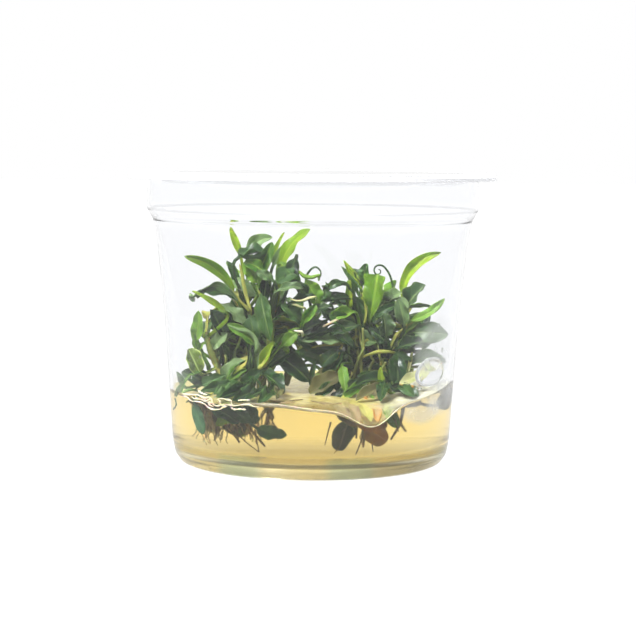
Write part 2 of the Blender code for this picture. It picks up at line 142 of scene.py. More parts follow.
# Gel's finish: a band runs along an axis in metres
GEL_IOR = 1.335
GEL_HAZE = 0.08
SKIN_COVER = 0.25
SKIN_OPENS = (-0.031, -0.018)
SKIN_CREAM = ((0.66, 0.55, 0.13), (0.83, 0.73, 0.25))
FROTH_BAND = (0.012, 0.026)
FROTH_CREAM = ((0.74, 0.71, 0.46), (0.90, 0.88, 0.68))
STREAK_CREAM = (0.97, 0.96, 0.84)
SKIN_SHADE = (0.97, 0.94, 0.85)

# Leaves, with sizes in millimetres: rows are counted along the petiole and along the blade, and the
# pairs of LEAF_CUPS, RIPPLE_TURNS and VEE are the least and the most of a number drawn at random
LEAF_THICK = 0.5
LEAF_EDGE = 0.3
LEAF_CUPS = (-0.10, 0.22)
LEAF_ROWS = (9, 30)
LEAF_RING = 20
INNER_ROWS = (7, 18)
INNER_RING = 14
PETIOLE_WIDTH = 0.8
PETIOLE_SHARE = 0.3
PETIOLE_FLAT = 0.8
LEAST_WIDTH = 0.12
RIPPLE = 0.16
RIPPLE_TURNS = (1.2, 2.6)
RIPPLE_LEAN = 1.6
FOLD = 0.05
FOLD_REACH = 0.25
VEE = (0.02, 0.24)
VEE_SOFT = 0.02
RECURVE = 2.2
TWIST = 0.7
TWIST_GROWTH = 1.5
DROWNED_DEPTH = 2.2
DROWNED_DIVE = -0.3
SIDE_VEINS = 9.0
VEIN_SLANT = 2.6
LEAF_GLOSS = 0.5
GLOW_DULLS = 2.2

# Shoots, rhizomes and their roots, with sizes in millimetres
SHOOT_RADIUS = 0.85
SHOOT_TAPER = (1.3, 1.15, 1.0, 0.7)
SHOOT_SCARS = 9
SCAR_RISE = 0.10
RHIZOME_RADIUS = 1.6
RHIZOME_WAVE = 0.08
RHIZOME_WAVES = 40
ROOT_RADIUS = 0.45

RHIZOMES = {
    "left": [(-26, -4, 16.8), (-20, -2.5, 17.5), (-13, -2, 17.5), (-5, 1.5, 16.9)],
    "right": [(8, -1, 16.7), (13, -2.5, 17.4), (17, -1, 17.4), (22.5, -2.5, 16.8)],
}

ROOTS = {
    "left": [
        [(-22, -3, 17.2), (-22.5, -6.5, 13), (-21, -9, 9.5)],
        [(-18.5, -2.4, 17.4), (-18, -6.5, 12), (-15, -9.5, 7)],
        [(-15.5, -2.2, 17.4), (-13.5, -5, 12), (-9.5, -8.5, 6)],
        [(-17, -2.3, 17.4), (-17.5, 2.5, 12.5), (-19, 5.5, 8)],
        [(-9.5, -0.5, 17.2), (-8, 3.5, 12.5), (-9, 6.5, 8.5)],
    ],
    "right": [
        [(11, -1.9, 17.2), (9.5, -6, 12.5), (9.5, -9.5, 8.5)],
        [(14.5, -1.9, 17.4), (13.5, -6.5, 12), (12.5, -10.5, 7.5)],
        [(18.5, -1.4, 17.2), (18.5, -6, 12), (17, -9.5, 8)],
        [(16, -1.4, 17.4), (16.5, 3.5, 12.5), (17.5, 7, 8.5)],
    ],
}

SHOOTS = {
    "left_stem_1": [(-23.3, -3.3, 19.6), (-23.9, -4.6, 24), (-25.9, -6, 28.8), (-27.2, -6.6, 33.5)],
    "left_stem_2": [(-18.4, -2.3, 19.6), (-17.2, -1.2, 26), (-16.3, -0.4, 34), (-16.8, 0, 42)],
    "left_stem_3": [(-13, -2, 19.6), (-12, -2.2, 25), (-10.6, -1.8, 33), (-9.6, -1, 40.5)],
    "left_stem_4": [(-7, 0.6, 19.7), (-4.9, 0.8, 25), (-1.6, 0.2, 30.5), (0.4, -0.4, 36)],
    "right_stem_1": [(11, -1.9, 19.5), (11.8, -2.8, 25), (12.6, -2.8, 31), (12.3, -2, 37)],
    "right_stem_2": [(15.8, -1.5, 19.5), (16.6, -0.6, 25.5), (17.2, 0, 32), (17.4, 0.4, 38.5)],
    "right_stem_3": [(20, -1.8, 19.4), (20.6, -2.6, 25), (22.2, -3.4, 30.5), (24.6, -3.2, 36)],
}


class LeafLook(NamedTuple):
    """One kind of leaf: its slot, how its blade rises and falls in width, its colours and its gloss."""
    slot: str
    ends: tuple
    main: tuple
    light: tuple
    deep: tuple
    rib: tuple
    roughness: float
    glow: float
    rim: float = 0.6


LEAF_LOOKS = {
    "lime": LeafLook("lime_leaf", (0.42, 0.55), (0.145, 0.23, 0.007), (0.21, 0.3, 0.014),
        (0.1, 0.195, 0.005), (0.31, 0.38, 0.045), 0.33, 0.3),
    "green": LeafLook("green_leaf", (0.5, 0.66), (0.056, 0.155, 0.009), (0.16, 0.3, 0.03),
        (0.014, 0.065, 0.006), (0.24, 0.33, 0.06), 0.32, 0.25),
    "dark": LeafLook("dark_leaf", (0.5, 0.7), (0.009, 0.036, 0.009), (0.038, 0.092, 0.02),
        (0.002, 0.011, 0.003), (0.09, 0.15, 0.03), 0.22, 0.1),
    "grey": LeafLook("grey_leaf", (0.5, 0.66), (0.06, 0.118, 0.034), (0.17, 0.26, 0.1),
        (0.016, 0.044, 0.012), (0.18, 0.25, 0.08), 0.32, 0.15),
    "fan": LeafLook("lime_leaf", (0.85, 0.16), (0.092, 0.185, 0.008), (0.17, 0.29, 0.02),
        (0.045, 0.11, 0.006), (0.23, 0.33, 0.04), 0.28, 0.25),
    "moss": LeafLook("green_leaf", (0.5, 0.62), (0.033, 0.094, 0.013), (0.1, 0.2, 0.04),
        (0.008, 0.038, 0.007), (0.17, 0.25, 0.06), 0.26, 0.2),
    "teal": LeafLook("green_leaf", (0.45, 0.6), (0.022, 0.08, 0.034), (0.05, 0.14, 0.06),
        (0.01, 0.045, 0.02), (0.08, 0.17, 0.07), 0.35, 0.2),
    "brown": LeafLook("dark_leaf", (0.45, 0.5), (0.17, 0.165, 0.075), (0.28, 0.26, 0.13),
        (0.08, 0.08, 0.035), (0.25, 0.22, 0.1), 0.5, 0.3),
    "mauve": LeafLook("pale_leaf", (0.45, 0.45), (0.17, 0.12, 0.08), (0.27, 0.19, 0.13),
        (0.08, 0.06, 0.04), (0.24, 0.17, 0.11), 0.5, 0.3),
    "umber": LeafLook("dark_leaf", (0.5, 0.6), (0.075, 0.075, 0.022), (0.16, 0.14, 0.05),
        (0.03, 0.03, 0.01), (0.15, 0.13, 0.04), 0.4, 0.2),
    "slate": LeafLook("grey_leaf", (0.5, 0.5), (0.17, 0.19, 0.15), (0.28, 0.28, 0.22),
        (0.07, 0.09, 0.07), (0.26, 0.26, 0.2), 0.45, 0.3),
    "rust": LeafLook("pale_leaf", (0.45, 0.45), (0.42, 0.18, 0.03), (0.56, 0.3, 0.08),
        (0.17, 0.07, 0.02), (0.48, 0.28, 0.09), 0.45, 0.4),
    "olive": LeafLook("stem", (0.5, 0.66), (0.25, 0.27, 0.035), (0.43, 0.42, 0.09),
        (0.13, 0.15, 0.02), (0.41, 0.39, 0.1), 0.4, 0.3),
    "spoon": LeafLook("lime_leaf", (0.42, 0.42), (0.07, 0.12, 0.009), (0.13, 0.2, 0.02),
        (0.042, 0.078, 0.006), (0.5, 0.62, 0.18), 0.34, 0.2, 1.2),
    "straw": LeafLook("pale_leaf", (0.45, 0.45), (0.36, 0.37, 0.13), (0.54, 0.53, 0.27),
        (0.12, 0.15, 0.03), (0.52, 0.5, 0.24), 0.4, 0.3),
    "cream": LeafLook("pale_leaf", (0.45, 0.45), (0.62, 0.56, 0.34), (0.88, 0.84, 0.62),
        (0.4, 0.32, 0.16), (0.84, 0.78, 0.54), 0.5, 0.4),
}


class Leaf(NamedTuple):
    """A leaf: where it leaves its shoot, where the blade starts and ends, and how it lies."""
    stem: str
    share: float
    knee: tuple
    tip: tuple
    width: float
    face: tuple
    finish: str
    arch: float = 0.0
    sway: float = 0.0
    cup: float = 0.4


def leaves_on(side, rows):
    """The leaves of one tuft, from rows that start with the number of the shoot."""
    return [Leaf(f"{side}_stem_{number}", *rest) for number, *rest in rows]


def front_leaves_on(side, rows):
    """The same for leaves that all face the front. A row has no face, and may end with how far the face
    is turned up where that isn't the usual."""
    leaves = []
    for number, share, knee, tip, width, kind, arch, *up in rows:
        face = (0.0, -0.9, *(up or [FRONT_UP]))
        leaves.append(Leaf(f"{side}_stem_{number}", share, knee, tip, width, face, kind, arch))
    return leaves


# The leaves that are solids in the part, by node, in the same places
LEFT_LEAVES = leaves_on("left", [
    (2, 0.97, (-18.9, 2, 53.5), (-21.4, 2.5, 60.8), 1.9, (0.2, -1, 0.2), "lime"),
    (3, 0.98, (-8.4, -2, 50), (-0.6, -2.5, 60.6), 3.4, (-0.2, -1, 0.3), "lime", 0.3, -1.5),
    (2, 0.9, (-16.4, 1.5, 53), (-10.4, 0.5, 58.2), 3.6, (0, -1, 0.5), "grey", 0.3, -1.6),
    (2, 0.8, (-20.6, -2, 44.2), (-33, -4, 53.4), 2.9, (0.1, -1, 0.5), "lime", 0.6, 1.9),
    (2, 0.72, (-19.8, -5.6, 43), (-29.6, -6.5, 44.4), 3.8, (0.1, -0.6, 0.9), "dark", 0.8),
    (2, 0.48, (-22.4, -5, 33.2), (-26.2, -5.8, 39.8), 4.2, (0.2, -1, 0.3), "dark", 0.5),
    (2, 0.52, (-17.2, -6.2, 36.4), (-23.4, -6.8, 41.4), 3.8, (0.2, -0.9, 0.5), "grey", 0.6),
    (1, 0.5, (-30.2, -7.2, 32), (-29, -8, 39.7), 3.2, (0, -1, 0), "green", 0.3, 0.5),
    (3, 0.5, (-14.4, -8.4, 31), (-21.6, -9.6, 36.4), 3.2, (0.2, -0.8, 0.6), "green", 0.9),
    (1, 0.35, (-28.6, -9.4, 24), (-31.4, -10, 30), 4.2, (0, -1, 0.2), "spoon", 0.3, 0, 0.9),
    (1, 0.12, (-26.4, -8, 20.8), (-33.2, -8.4, 23.8), 4.3, (-0.1, -0.9, 0.5), "dark", 0.6),
    (3, 0.74, (-13, -9, 43.4), (-10.3, -11.8, 32.4), 4.3, (-0.1, -1, 0.2), "moss", 1.6),
    (3, 0.22, (-12.8, -9.4, 25.6), (-9.2, -11.2, 32.3), 2.4, (-0.3, -1, 0.3), "lime", 0.3),
    (3, 0.36, (-8.8, -5.4, 28), (-0.4, -6.4, 21.4), 5.4, (0.3, -0.9, 0.4), "dark", 0.9),
    (3, 0.1, (-12.4, -11, 23.8), (-6.9, -19.5, 19.8), 4.2, (0.3, -0.7, 0.7), "dark", 0.9),
    (2, 0.1, (-17.2, -13, 21.6), (-24.2, -21.6, 19.8), 3.2, (0, -0.3, 1), "dark", 0.7),
    (3, 0.92, (-9, -4.6, 47.4), (-3.2, -5.6, 49.6), 4.6, (0, -0.9, 0.5), "dark", 0.8),
    (4, 0.98, (2.2, -4, 41), (-1.8, -5, 47.6), 4.4, (0.2, -1, 0.3), "green", 0.4),
    (4, 0.72, (-2.6, -6.2, 36.6), (-8, -7.2, 41.3), 3.8, (0, -0.8, 0.6), "dark", 0.7),
    (2, 0.86, (-19, 6.5, 43), (-23, 11.5, 51), 4, (0.2, 0.8, 0.6), "green", 0.6),
    (2, 0.66, (-17, 8, 40.5), (-14.5, 16, 45), 4.4, (0, 0.3, 1), "dark", 1.4),
    (1, 0.7, (-28, 1.5, 31.5), (-30.5, 9, 35.5), 4, (-0.3, 0.8, 0.6), "dark", 0.8),
    (2, 0.3, (-21, 8, 31.5), (-27.5, 15.5, 27), 4.6, (-0.3, 0.8, 0.7), "grey", 1.7),
    (3, 0.8, (-8.5, 6, 42.5), (-5.5, 12, 50), 4, (0, 0.8, 0.5), "green", 0.6),
    (4, 0.6, (-1.5, 7, 37), (1.5, 15, 35), 4.4, (0.2, 0.6, 0.9), "dark", 1.7),
    (3, 0.4, (-11, 7.5, 30.5), (-9.5, 17, 24), 4.6, (0, 0.9, 0.6), "grey", 1.9),
])
RIGHT_LEAVES = leaves_on("right", [
    (1, 0.97, (12.4, 0.4, 45.5), (8.2, 0.4, 52.2), 1.7, (0.1, -1, 0.3), "lime"),
    (3, 0.97, (23.6, -1.2, 44), (33.4, -1.4, 54.8), 2.9, (-0.2, -1, 0.4), "lime", 0.4, -2.7),
    (2, 0.78, (14.9, -6, 37.6), (16.8, -6.6, 49.3), 6.3, (0, -1, 0.3), "fan", 0.6),
    (1, 0.85, (9.6, -3.6, 40), (9.2, -4.2, 47.6), 2, (0.2, -1, 0.1), "lime"),
    (3, 0.88, (24.4, -5, 41), (29.2, -5.6, 46.6), 4.6, (-0.2, -0.9, 0.5), "grey", 0.6),
    (3, 0.8, (25.6, -8, 37.6), (33.8, -8.6, 43.4), 2.4, (-0.2, -0.8, 0.6), "green", 0.4, 1.1),
    (3, 0.64, (26.4, -7.4, 34.6), (34.8, -8.4, 34.2), 5.6, (0.1, -1, 0.2), "grey", 1.1),
    (3, 0.48, (22.6, -8.6, 30.6), (28.8, -9.6, 32), 3.6, (0.1, -0.8, 0.6), "dark", 0.7),
    (2, 0.52, (18.9, -9.6, 34), (18, -11, 39.8), 4.3, (0.1, -1, 0.3), "grey", 0.5),
    (3, 0.36, (21.6, -8, 28.2), (22.2, -10.4, 20.6), 4.6, (0.1, -1, 0.2), "dark", 0.9),
    (2, 0.16, (18.2, -11, 22.6), (11.2, -13.4, 21.6), 3.2, (0, -0.7, 0.8), "dark", 0.8),
    (3, 0.08, (21.6, -13, 20.6), (27, -18, 18.9), 3.4, (0.1, -0.5, 0.9), "dark", 0.6),
    (1, 0.7, (9.8, -5.6, 34.8), (4.6, -6.6, 39.4), 4.2, (0.1, -0.9, 0.5), "dark", 0.6),
    (1, 0.5, (8, -7, 32.4), (-2.6, -8.4, 32), 4.2, (0, -0.9, 0.6), "grey", 0.9),
    (3, 0.24, (25, -8, 26.2), (34.4, -7, 26.6), 3.6, (0.1, -0.9, 0.6), "grey", 1.9, -1.1),
    (2, 0.92, (19, 6.5, 40), (22.5, 12.5, 46.5), 4.2, (0, 0.8, 0.5), "green", 0.6),
    (1, 0.8, (9, 5.5, 37.5), (5.5, 12.5, 42), 4, (-0.2, 0.7, 0.8), "dark", 0.9),
    (3, 0.7, (27.5, 4.5, 33.5), (31, 11, 37.5), 4, (0.4, 0.7, 0.5), "dark", 0.7),
    (2, 0.62, (16.8, 8.5, 36), (14, 17.5, 33.5), 4.6, (0, 0.6, 0.9), "grey", 1.7),
    (1, 0.4, (8.5, 7, 29.5), (4.5, 15.5, 24), 4.4, (-0.1, 0.9, 0.6), "dark", 1.7),
    (2, 0.34, (20, 7.5, 30), (25, 15.5, 24.5), 4.6, (0.2, 0.9, 0.6), "dark", 1.9),
    (1, 0.3, (7.8, -8.6, 25.6), (8.6, -12.4, 19.6), 2.8, (0.1, -1, 0.2), "green", 0.8),
])

# Smaller leaves between the solid ones
SMALL_LEAVES = leaves_on("left", [
    (2, 0.98, (-11.5, 4, 50.8), (-7.3, 4, 59.5), 1.3, (0, -1, 0.3), "lime", 0.2),
    (2, 0.95, (-18.8, -5, 53.2), (-11.6, -3, 54.6), 4.7, (0, -0.4, 1), "dark", 0.6),
    (2, 0.8, (-19.3, 3, 44.4), (-22.5, 3, 51.9), 2.6, (0.2, -1, 0.3), "dark", 0.5),
    (1, 0.95, (-22, -8, 39.5), (-30.7, -8, 44.7), 1.6, (0.1, -0.9, 0.5), "lime", 0.5),
    (1, 0.3, (-23.1, -5, 23.9), (-24.6, -6, 32.7), 2.6, (0.4, -1, 0.1), "dark", 0.5, 1.2),
    (2, 0.4, (-19.6, -3, 30.6), (-24.8, -3, 34), 2.6, (0.2, -0.9, 0.5), "green", 0.6),
    (1, 0.08, (-33.2, -4, 19.9), (-35, -4, 23.4), 1.6, (0.1, -1, 0.2), "dark", 0.2),
    (1, 0.2, (-22.5, -8, 22.2), (-17.4, -8, 27), 3.6, (-0.1, -0.9, 0.5), "grey", 0.6),
    (1, 0.1, (-21.4, -10, 21.4), (-16.5, -10, 24.7), 2.1, (-0.1, -0.9, 0.6), "green", 0.4),
    (2, 0.6, (-15.9, -6, 37.8), (-14.4, -6.6, 30.9), 4.7, (0, -1, 0.3), "dark", 0.9),
    (3, 0.2, (-14.1, -7, 24.1), (-15.1, -7, 33.6), 3.1, (0.2, -1, 0.2), "grey", 0.6),
    (3, 0.55, (-7.1, -10, 31.3), (-3.8, -10, 34.4), 3.4, (0, -0.9, 0.4), "green", 0.5),
    (3, 0.98, (-10.1, 0, 51.1), (-7.3, 0, 56.8), 2.1, (0, -1, 0.3), "grey", 0.3),
    (3, 0.95, (-7.5, -4, 51.6), (-3.3, -4, 46.2), 2.1, (0.2, -0.9, 0.5), "green", 1.4),
    (2, 0.9, (-13.9, -4, 46.9), (-17.5, -4, 52.1), 4.2, (0.1, -1, 0.3), "green", 0.5),
    (3, 0.85, (-8.2, -9, 45.2), (-2.3, -9, 45.7), 2.6, (0, -0.8, 0.7), "grey", 0.9),
    (4, 0.95, (-5.1, -8, 41.8), (1.5, -8, 42.9), 3.1, (0, -0.8, 0.6), "dark", 0.6),
    (4, 0.8, (-2, -10, 37.2), (1, -10, 41.7), 2.6, (0, -0.9, 0.4), "green", 0.4),
    (4, 0.2, (2.6, -6, 23.6), (3.3, -8, 19.4), 3.6, (0, -1, 0.3), "green", 0.5),
]) + leaves_on("right", [
    (1, 0.45, (6.6, -8, 29.3), (2.3, -8, 25.7), 3.6, (0.1, -0.9, 0.5), "dark", 0.6),
    (1, 0.9, (12, 4, 43.8), (7.6, 4, 50.6), 1.6, (0.1, -1, 0.3), "dark", 0.3),
    (1, 0.95, (13, 2, 46), (14.3, 2, 51.5), 3.1, (0, -0.9, 0.5), "dark", 0.7, 0, 1),
    (1, 0.9, (8.2, -4, 46.4), (2.8, -4, 43.8), 2.1, (0, -0.7, 0.8), "dark", 0.7, 0, 1),
    (1, 0.85, (9.5, -6, 43), (2.6, -6, 41.7), 2.3, (0, -0.8, 0.7), "dark", 0.6),
    (2, 0.75, (16.1, -7, 37.9), (22, -7, 41.5), 2.3, (0, -0.8, 0.6), "dark", 1.3),
    (3, 0.95, (22.1, -4, 42.6), (21, -4, 46), 1, (0, -1, 0.2), "lime", 0.1),
    (3, 0.75, (23.5, -9, 37.1), (22.2, -9, 43.2), 3.6, (0, -1, 0.3), "grey", 0.5),
    (3, 0.9, (24.8, -2, 40.6), (31, -2, 40.8), 1.3, (0, -0.9, 0.5), "green", 0.4),
    (2, 0.4, (18.7, -6, 29.1), (18, -6, 34), 3.1, (0.2, -1, 0.1), "dark", 0.4, 0, 1),
    (3, 0.1, (20, -12, 19.6), (17.7, -12, 25.9), 1.8, (0, -1, 0.2), "lime", 0.2, -1),
    (1, 0.1, (12.7, -11, 22), (8.6, -12, 19.2), 2.6, (0, -0.8, 0.6), "dark", 0.6),
    (1, 0.55, (10.2, -8, 31.1), (4.6, -8, 34.4), 3.1, (0.1, -0.9, 0.5), "dark", 0.6),
    (1, 0.8, (13.4, -3, 35.8), (11.9, -3, 42.7), 2.1, (0, -1, 0.2), "dark", 0.3),
    (1, 0.2, (5.9, -7, 23.6), (6.7, -8, 19.2), 3.1, (0, -1, 0.2), "dark", 0.5),
])

# Leaves that close the gaps in each tuft's front
FRONT_UP = 0.5
FRONT_LEAVES = front_leaves_on("left", [
    (4, 0.55, (2.6, -8, 37), (-3.1, -8, 33.9), 3.6, "dark", 0.5),
    (4, 0.6, (4.1, -7, 41), (-1.5, -7, 38.9), 2.6, "grey", 0.6),
    (1, 0.1, (-22.9, -9, 22.8), (-29.6, -9, 19.5), 2.8, "dark", 0.4),
    (2, 0.12, (-15.7, -12, 21.1), (-21.8, -12, 17.1), 2.8, "dark", 0.4),
    (3, 0.15, (-12.7, -10, 24.4), (-18.3, -10, 19.9), 3, "dark", 0.5),
    (3, 0.3, (-5.1, -7, 29.2), (-11.3, -7, 25.1), 3.6, "dark", 0.5),
    (1, 0.55, (-22.1, -6, 33.5), (-25.7, -6, 29.6), 3.2, "grey", 0.5),
    (3, 0.95, (-12.9, -5, 50.1), (-17.5, -5, 52.1), 3.4, "green", 0.5),
    (3, 0.9, (-10.3, -6, 47.6), (-14.4, -6, 49.6), 2.6, "grey", 0.6),
    (3, 0.85, (-4.4, -5, 53), (-6.2, -5, 46.5), 3.6, "dark", 0.6),
    (4, 0.9, (-1.5, -6, 43.5), (-5.6, -6, 47.1), 3.4, "dark", 0.7),
    (2, 0.2, (-18.4, -9, 23.8), (-22.9, -9, 19.2), 3.4, "dark", 0.5),
    (4, 0.35, (-4.1, -6, 32.7), (2.8, -6, 28.6), 3.2, "dark", 0.5),
    (3, 0.96, (-13.6, -3, 49.4), (-10.4, -3, 57.2), 3.6, "green", 0.4),
    (3, 0.92, (-15.5, -4, 47.4), (-17, -4, 53.1), 2.6, "green", 0.4),
    (3, 0.8, (-12.6, -3, 41.5), (-11.4, -3, 49), 3.2, "dark", 0.5),
    (4, 0.2, (-3.4, -5, 28.8), (2.8, -5, 26), 3.4, "dark", 0.5),
    (4, 0.15, (0.8, -6, 26), (-0.4, -6, 20.4), 1.5, "dark", 0.4),
    (1, 0.1, (-32.2, -12.5, 21.6), (-33.8, -11.5, 17.9), 1.7, "green", 0.4, 0.2),
    (2, 0.1, (-15.6, -19, 21), (-22.6, -26, 19.4), 3.4, "dark", 0.5),
    (3, 0.1, (-10.6, -19, 20.8), (-16, -29, 19.6), 3.2, "dark", 0.5),
    (3, 0.08, (-8, -17, 20.6), (-8.6, -26, 19.4), 2.6, "umber", 0.5),
    (1, 0.1, (-20, -15, 21.2), (-27.4, -21, 20.6), 3.2, "dark", 0.5),
    (1, 0.45, (-27.9, -7, 31), (-29.7, -7, 29.2), 1.6, "green", 0.2),
    (2, 0.08, (-13.5, -19.5, 20.6), (-19.3, -27.8, 19.2), 4, "dark", 0.4),
    (3, 0.08, (-9.8, -21.5, 20.3), (-13, -31.2, 19), 3.4, "dark", 0.4),
    (1, 0.08, (-18.6, -17.5, 20.8), (-23.4, -24, 19.4), 3.6, "moss", 0.4),
]) + front_leaves_on("right", [
    (1, 0.35, (9, -6, 28.9), (1, -6, 29.6), 3.4, "dark", 0.6),
    (1, 0.15, (8.2, -6, 24), (0, -6, 20.4), 5, "umber", 0.6),
    (1, 0.3, (9.8, -5, 24.9), (3.6, -5, 25.4), 3.2, "dark", 0.6),
    (1, 0.75, (10.3, -6, 39.4), (4.6, -6, 37.8), 3.2, "green", 0.6),
    (1, 0.6, (11.3, -7, 35.9), (3.6, -7, 33.8), 3.4, "grey", 0.6),
    (2, 0.3, (20.4, -8, 22.2), (11.8, -8, 23.2), 3, "dark", 0.6),
    (3, 0.15, (20.2, -14, 20.9), (27.3, -14, 18.8), 3.2, "dark", 0.5),
    (2, 0.15, (13.7, -12, 21.6), (8.1, -12, 17.1), 3, "green", 0.5),
    (3, 0.45, (22, -8, 29.3), (23.5, -8, 23.7), 4.6, "dark", 0.6),
    (2, 0.6, (15.4, -7, 34.9), (20, -7, 31), 3.4, "dark", 0.5),
    (3, 0.6, (22.6, -6, 32.7), (30.3, -6, 35.3), 2.8, "grey", 0.5),
    (1, 0.95, (13.4, -4, 46.9), (10.3, -4, 50.5), 3, "dark", 0.6),
    (2, 0.85, (18.8, -5, 42.4), (23.1, -5, 44.4), 3.2, "grey", 0.6),
    (1, 0.1, (10.2, -11, 19.5), (4.6, -11, 17.4), 2.8, "dark", 0.5),
    (1, 0.3, (7.7, -7, 29.2), (3.1, -7, 22), 3.4, "dark", 0.6),
    (1, 0.12, (7.1, -9, 23.3), (-0.5, -9, 18.7), 4.6, "umber", 0.8),
    (1, 0.1, (6.1, -10, 21.4), (1, -10, 16.8), 3, "dark", 0.5),
    (1, 0.55, (4.6, -8, 34.9), (-1.5, -8, 32.4), 3, "dark", 0.5),
    (1, 0.92, (7.2, -8, 47.2), (4.1, -8, 45.7), 2.2, "dark", 0.6),
    (3, 0.7, (24.6, -7, 34.9), (30.7, -7, 41), 1.8, "green", 0.4),
    (1, 0.7, (8, -4, 36.5), (2.2, -4, 40), 3.4, "dark", 0.5),
    (3, 0.2, (29.3, -13, 25), (22.3, -15, 21.8), 2.8, "straw", 0.4),
    (3, 0.3, (24.9, -9, 25.4), (25.8, -9, 29.6), 1, "straw", 0.1, 0.2),
    (2, 0.12, (17.6, -16, 21.4), (11.2, -22, 18.6), 2.8, "umber", 0.5),
    (3, 0.12, (18.4, -15, 22), (17.2, -23, 18.6), 3.2, "dark", 0.5),
    (3, 0.1, (22.4, -14, 21.6), (25.8, -21.5, 19.6), 3, "dark", 0.5),
])

# Leaves under the gel's top, some of them browned
DROWNED_LEAVES = leaves_on("left", [
    (1, 0.02, (-28.2, -19.5, 17), (-25.8, -20.5, 9.8), 3.7, (-0.4, -1, 0.1), "teal", 0.4),
    (2, 0.02, (-23, -18.5, 17), (-16.2, -19, 12.8), 4.4, (0, -1, 0.3), "teal", 0.5),
    (2, 0.02, (-19.6, -17, 17.2), (-13.4, -18, 13.2), 4.2, (0, -1, 0.3), "teal", 0.5),
    (2, 0.02, (-17.4, -12, 15.4), (-20.6, -12.5, 11.4), 3.4, (0, -1, 0.3), "green", 0.5),
    (3, 0.02, (-14.2, -15, 17.3), (-12.1, -16, 12.4), 3.2, (0, -1, 0.1), "teal", 0.3),
    (3, 0.02, (-11.4, -14.5, 11.2), (-5.2, -16, 9.8), 3.8, (0, -1, 0.2), "teal", 0.3, 0.5),
    (2, 0.02, (-20.6, -4, 14.2), (-12.6, -3.5, 8.6), 5, (0, -1, 0.3), "brown", 0.6),
    (2, 0.02, (-16, 0, 15), (-14, 0, 7.8), 5.5, (0, -1, 0.3), "brown", 0.6),
    (1, 0.02, (-24, -3, 13.5), (-18.5, -3, 8.6), 4.4, (0, -1, 0.3), "brown", 0.6),
]) + leaves_on("right", [
    (1, 0.02, (7.9, -13, 13.4), (6, -13.5, 5.6), 4.6, (0, -1, 0.1), "slate", 0.3),
    (1, 0.02, (9.4, -12, 11.4), (4.6, -12.5, 6.6), 3.2, (0, -1, 0.1), "slate", 0.3),
    (1, 0.02, (5.6, -15, 17), (10.8, -16, 12.4), 3.6, (0, -1, 0.3), "mauve", 0.5),
    (2, 0.02, (12.4, -20.5, 11.6), (17.6, -21, 8.9), 5, (0.1, -1, 0.1), "rust", 0.4),
    (2, 0.02, (14.6, -19, 16.8), (17, -20.5, 12), 2.6, (0.1, -1, 0.1), "rust", 0.3),
    (2, 0.02, (16.6, -17, 17), (19.8, -18, 11.8), 3.4, (0.1, -1, 0.2), "green", 0.4),
    (1, 0.02, (9.4, -16, 17.4), (13.6, -17, 13.8), 2.8, (0, -1, 0.2), "olive", 0.3),
    (3, 0.02, (26.5, -3, 16), (34.4, 0, 17.6), 5.4, (0.3, -1, 0.3), "slate", 0.5),
    (1, 0.04, (6.2, -22.5, 16.9), (9.6, -29.8, 14), 3.6, (0, -0.7, 0.8), "mauve", 0.2),
    (1, 0.04, (9.4, -22.4, 16.6), (12, -29, 13.6), 3.4, (0, -0.7, 0.8), "mauve", 0.2),
    (2, 0.04, (12.6, -21.4, 17), (14.6, -28.6, 13.8), 2.8, (0, -0.7, 0.8), "olive", 0.2),
    (2, 0.04, (16.6, -22, 17), (16.4, -29.4, 14.2), 2.2, (0, -0.7, 0.8), "rust", 0.2),
    (3, 0.04, (19.4, -22, 17.2), (18.8, -30.2, 14.8), 2.2, (0, -0.7, 0.8), "green", 0.2),
])

# Roots that hang in front of the others in the gel, each with its thickness
DROWNED_ROOTS = [
    (0.22, [(-17.5, -8, 12.5), (-14.5, -10, 8), (-11, -12, 4.8)]),
    (0.20, [(-11.8, -10, 10.5), (-11, -12, 4.9)]),
    (0.22, [(-15.6, -7, 13), (-15, -8, 6.6)]),
    (0.22, [(-19.5, -8, 12), (-20.5, -8, 7)]),
    (0.24, [(11.4, -12, 12), (10.8, -14, 8), (9.8, -15, 4.8)]),
    (0.46, [(11.6, -13, 12), (11.4, -15, 6.6)]),
    (0.24, [(13, -15, 10), (13.9, -18, 5.8)]),
    (0.22, [(18.4, -17, 15.5), (20.2, -20, 11)]),
    (0.20, [(4.2, -13, 13), (3, -15, 7.2)]),
    (0.20, [(7, -13, 8), (5, -14, 4.9)]),
]

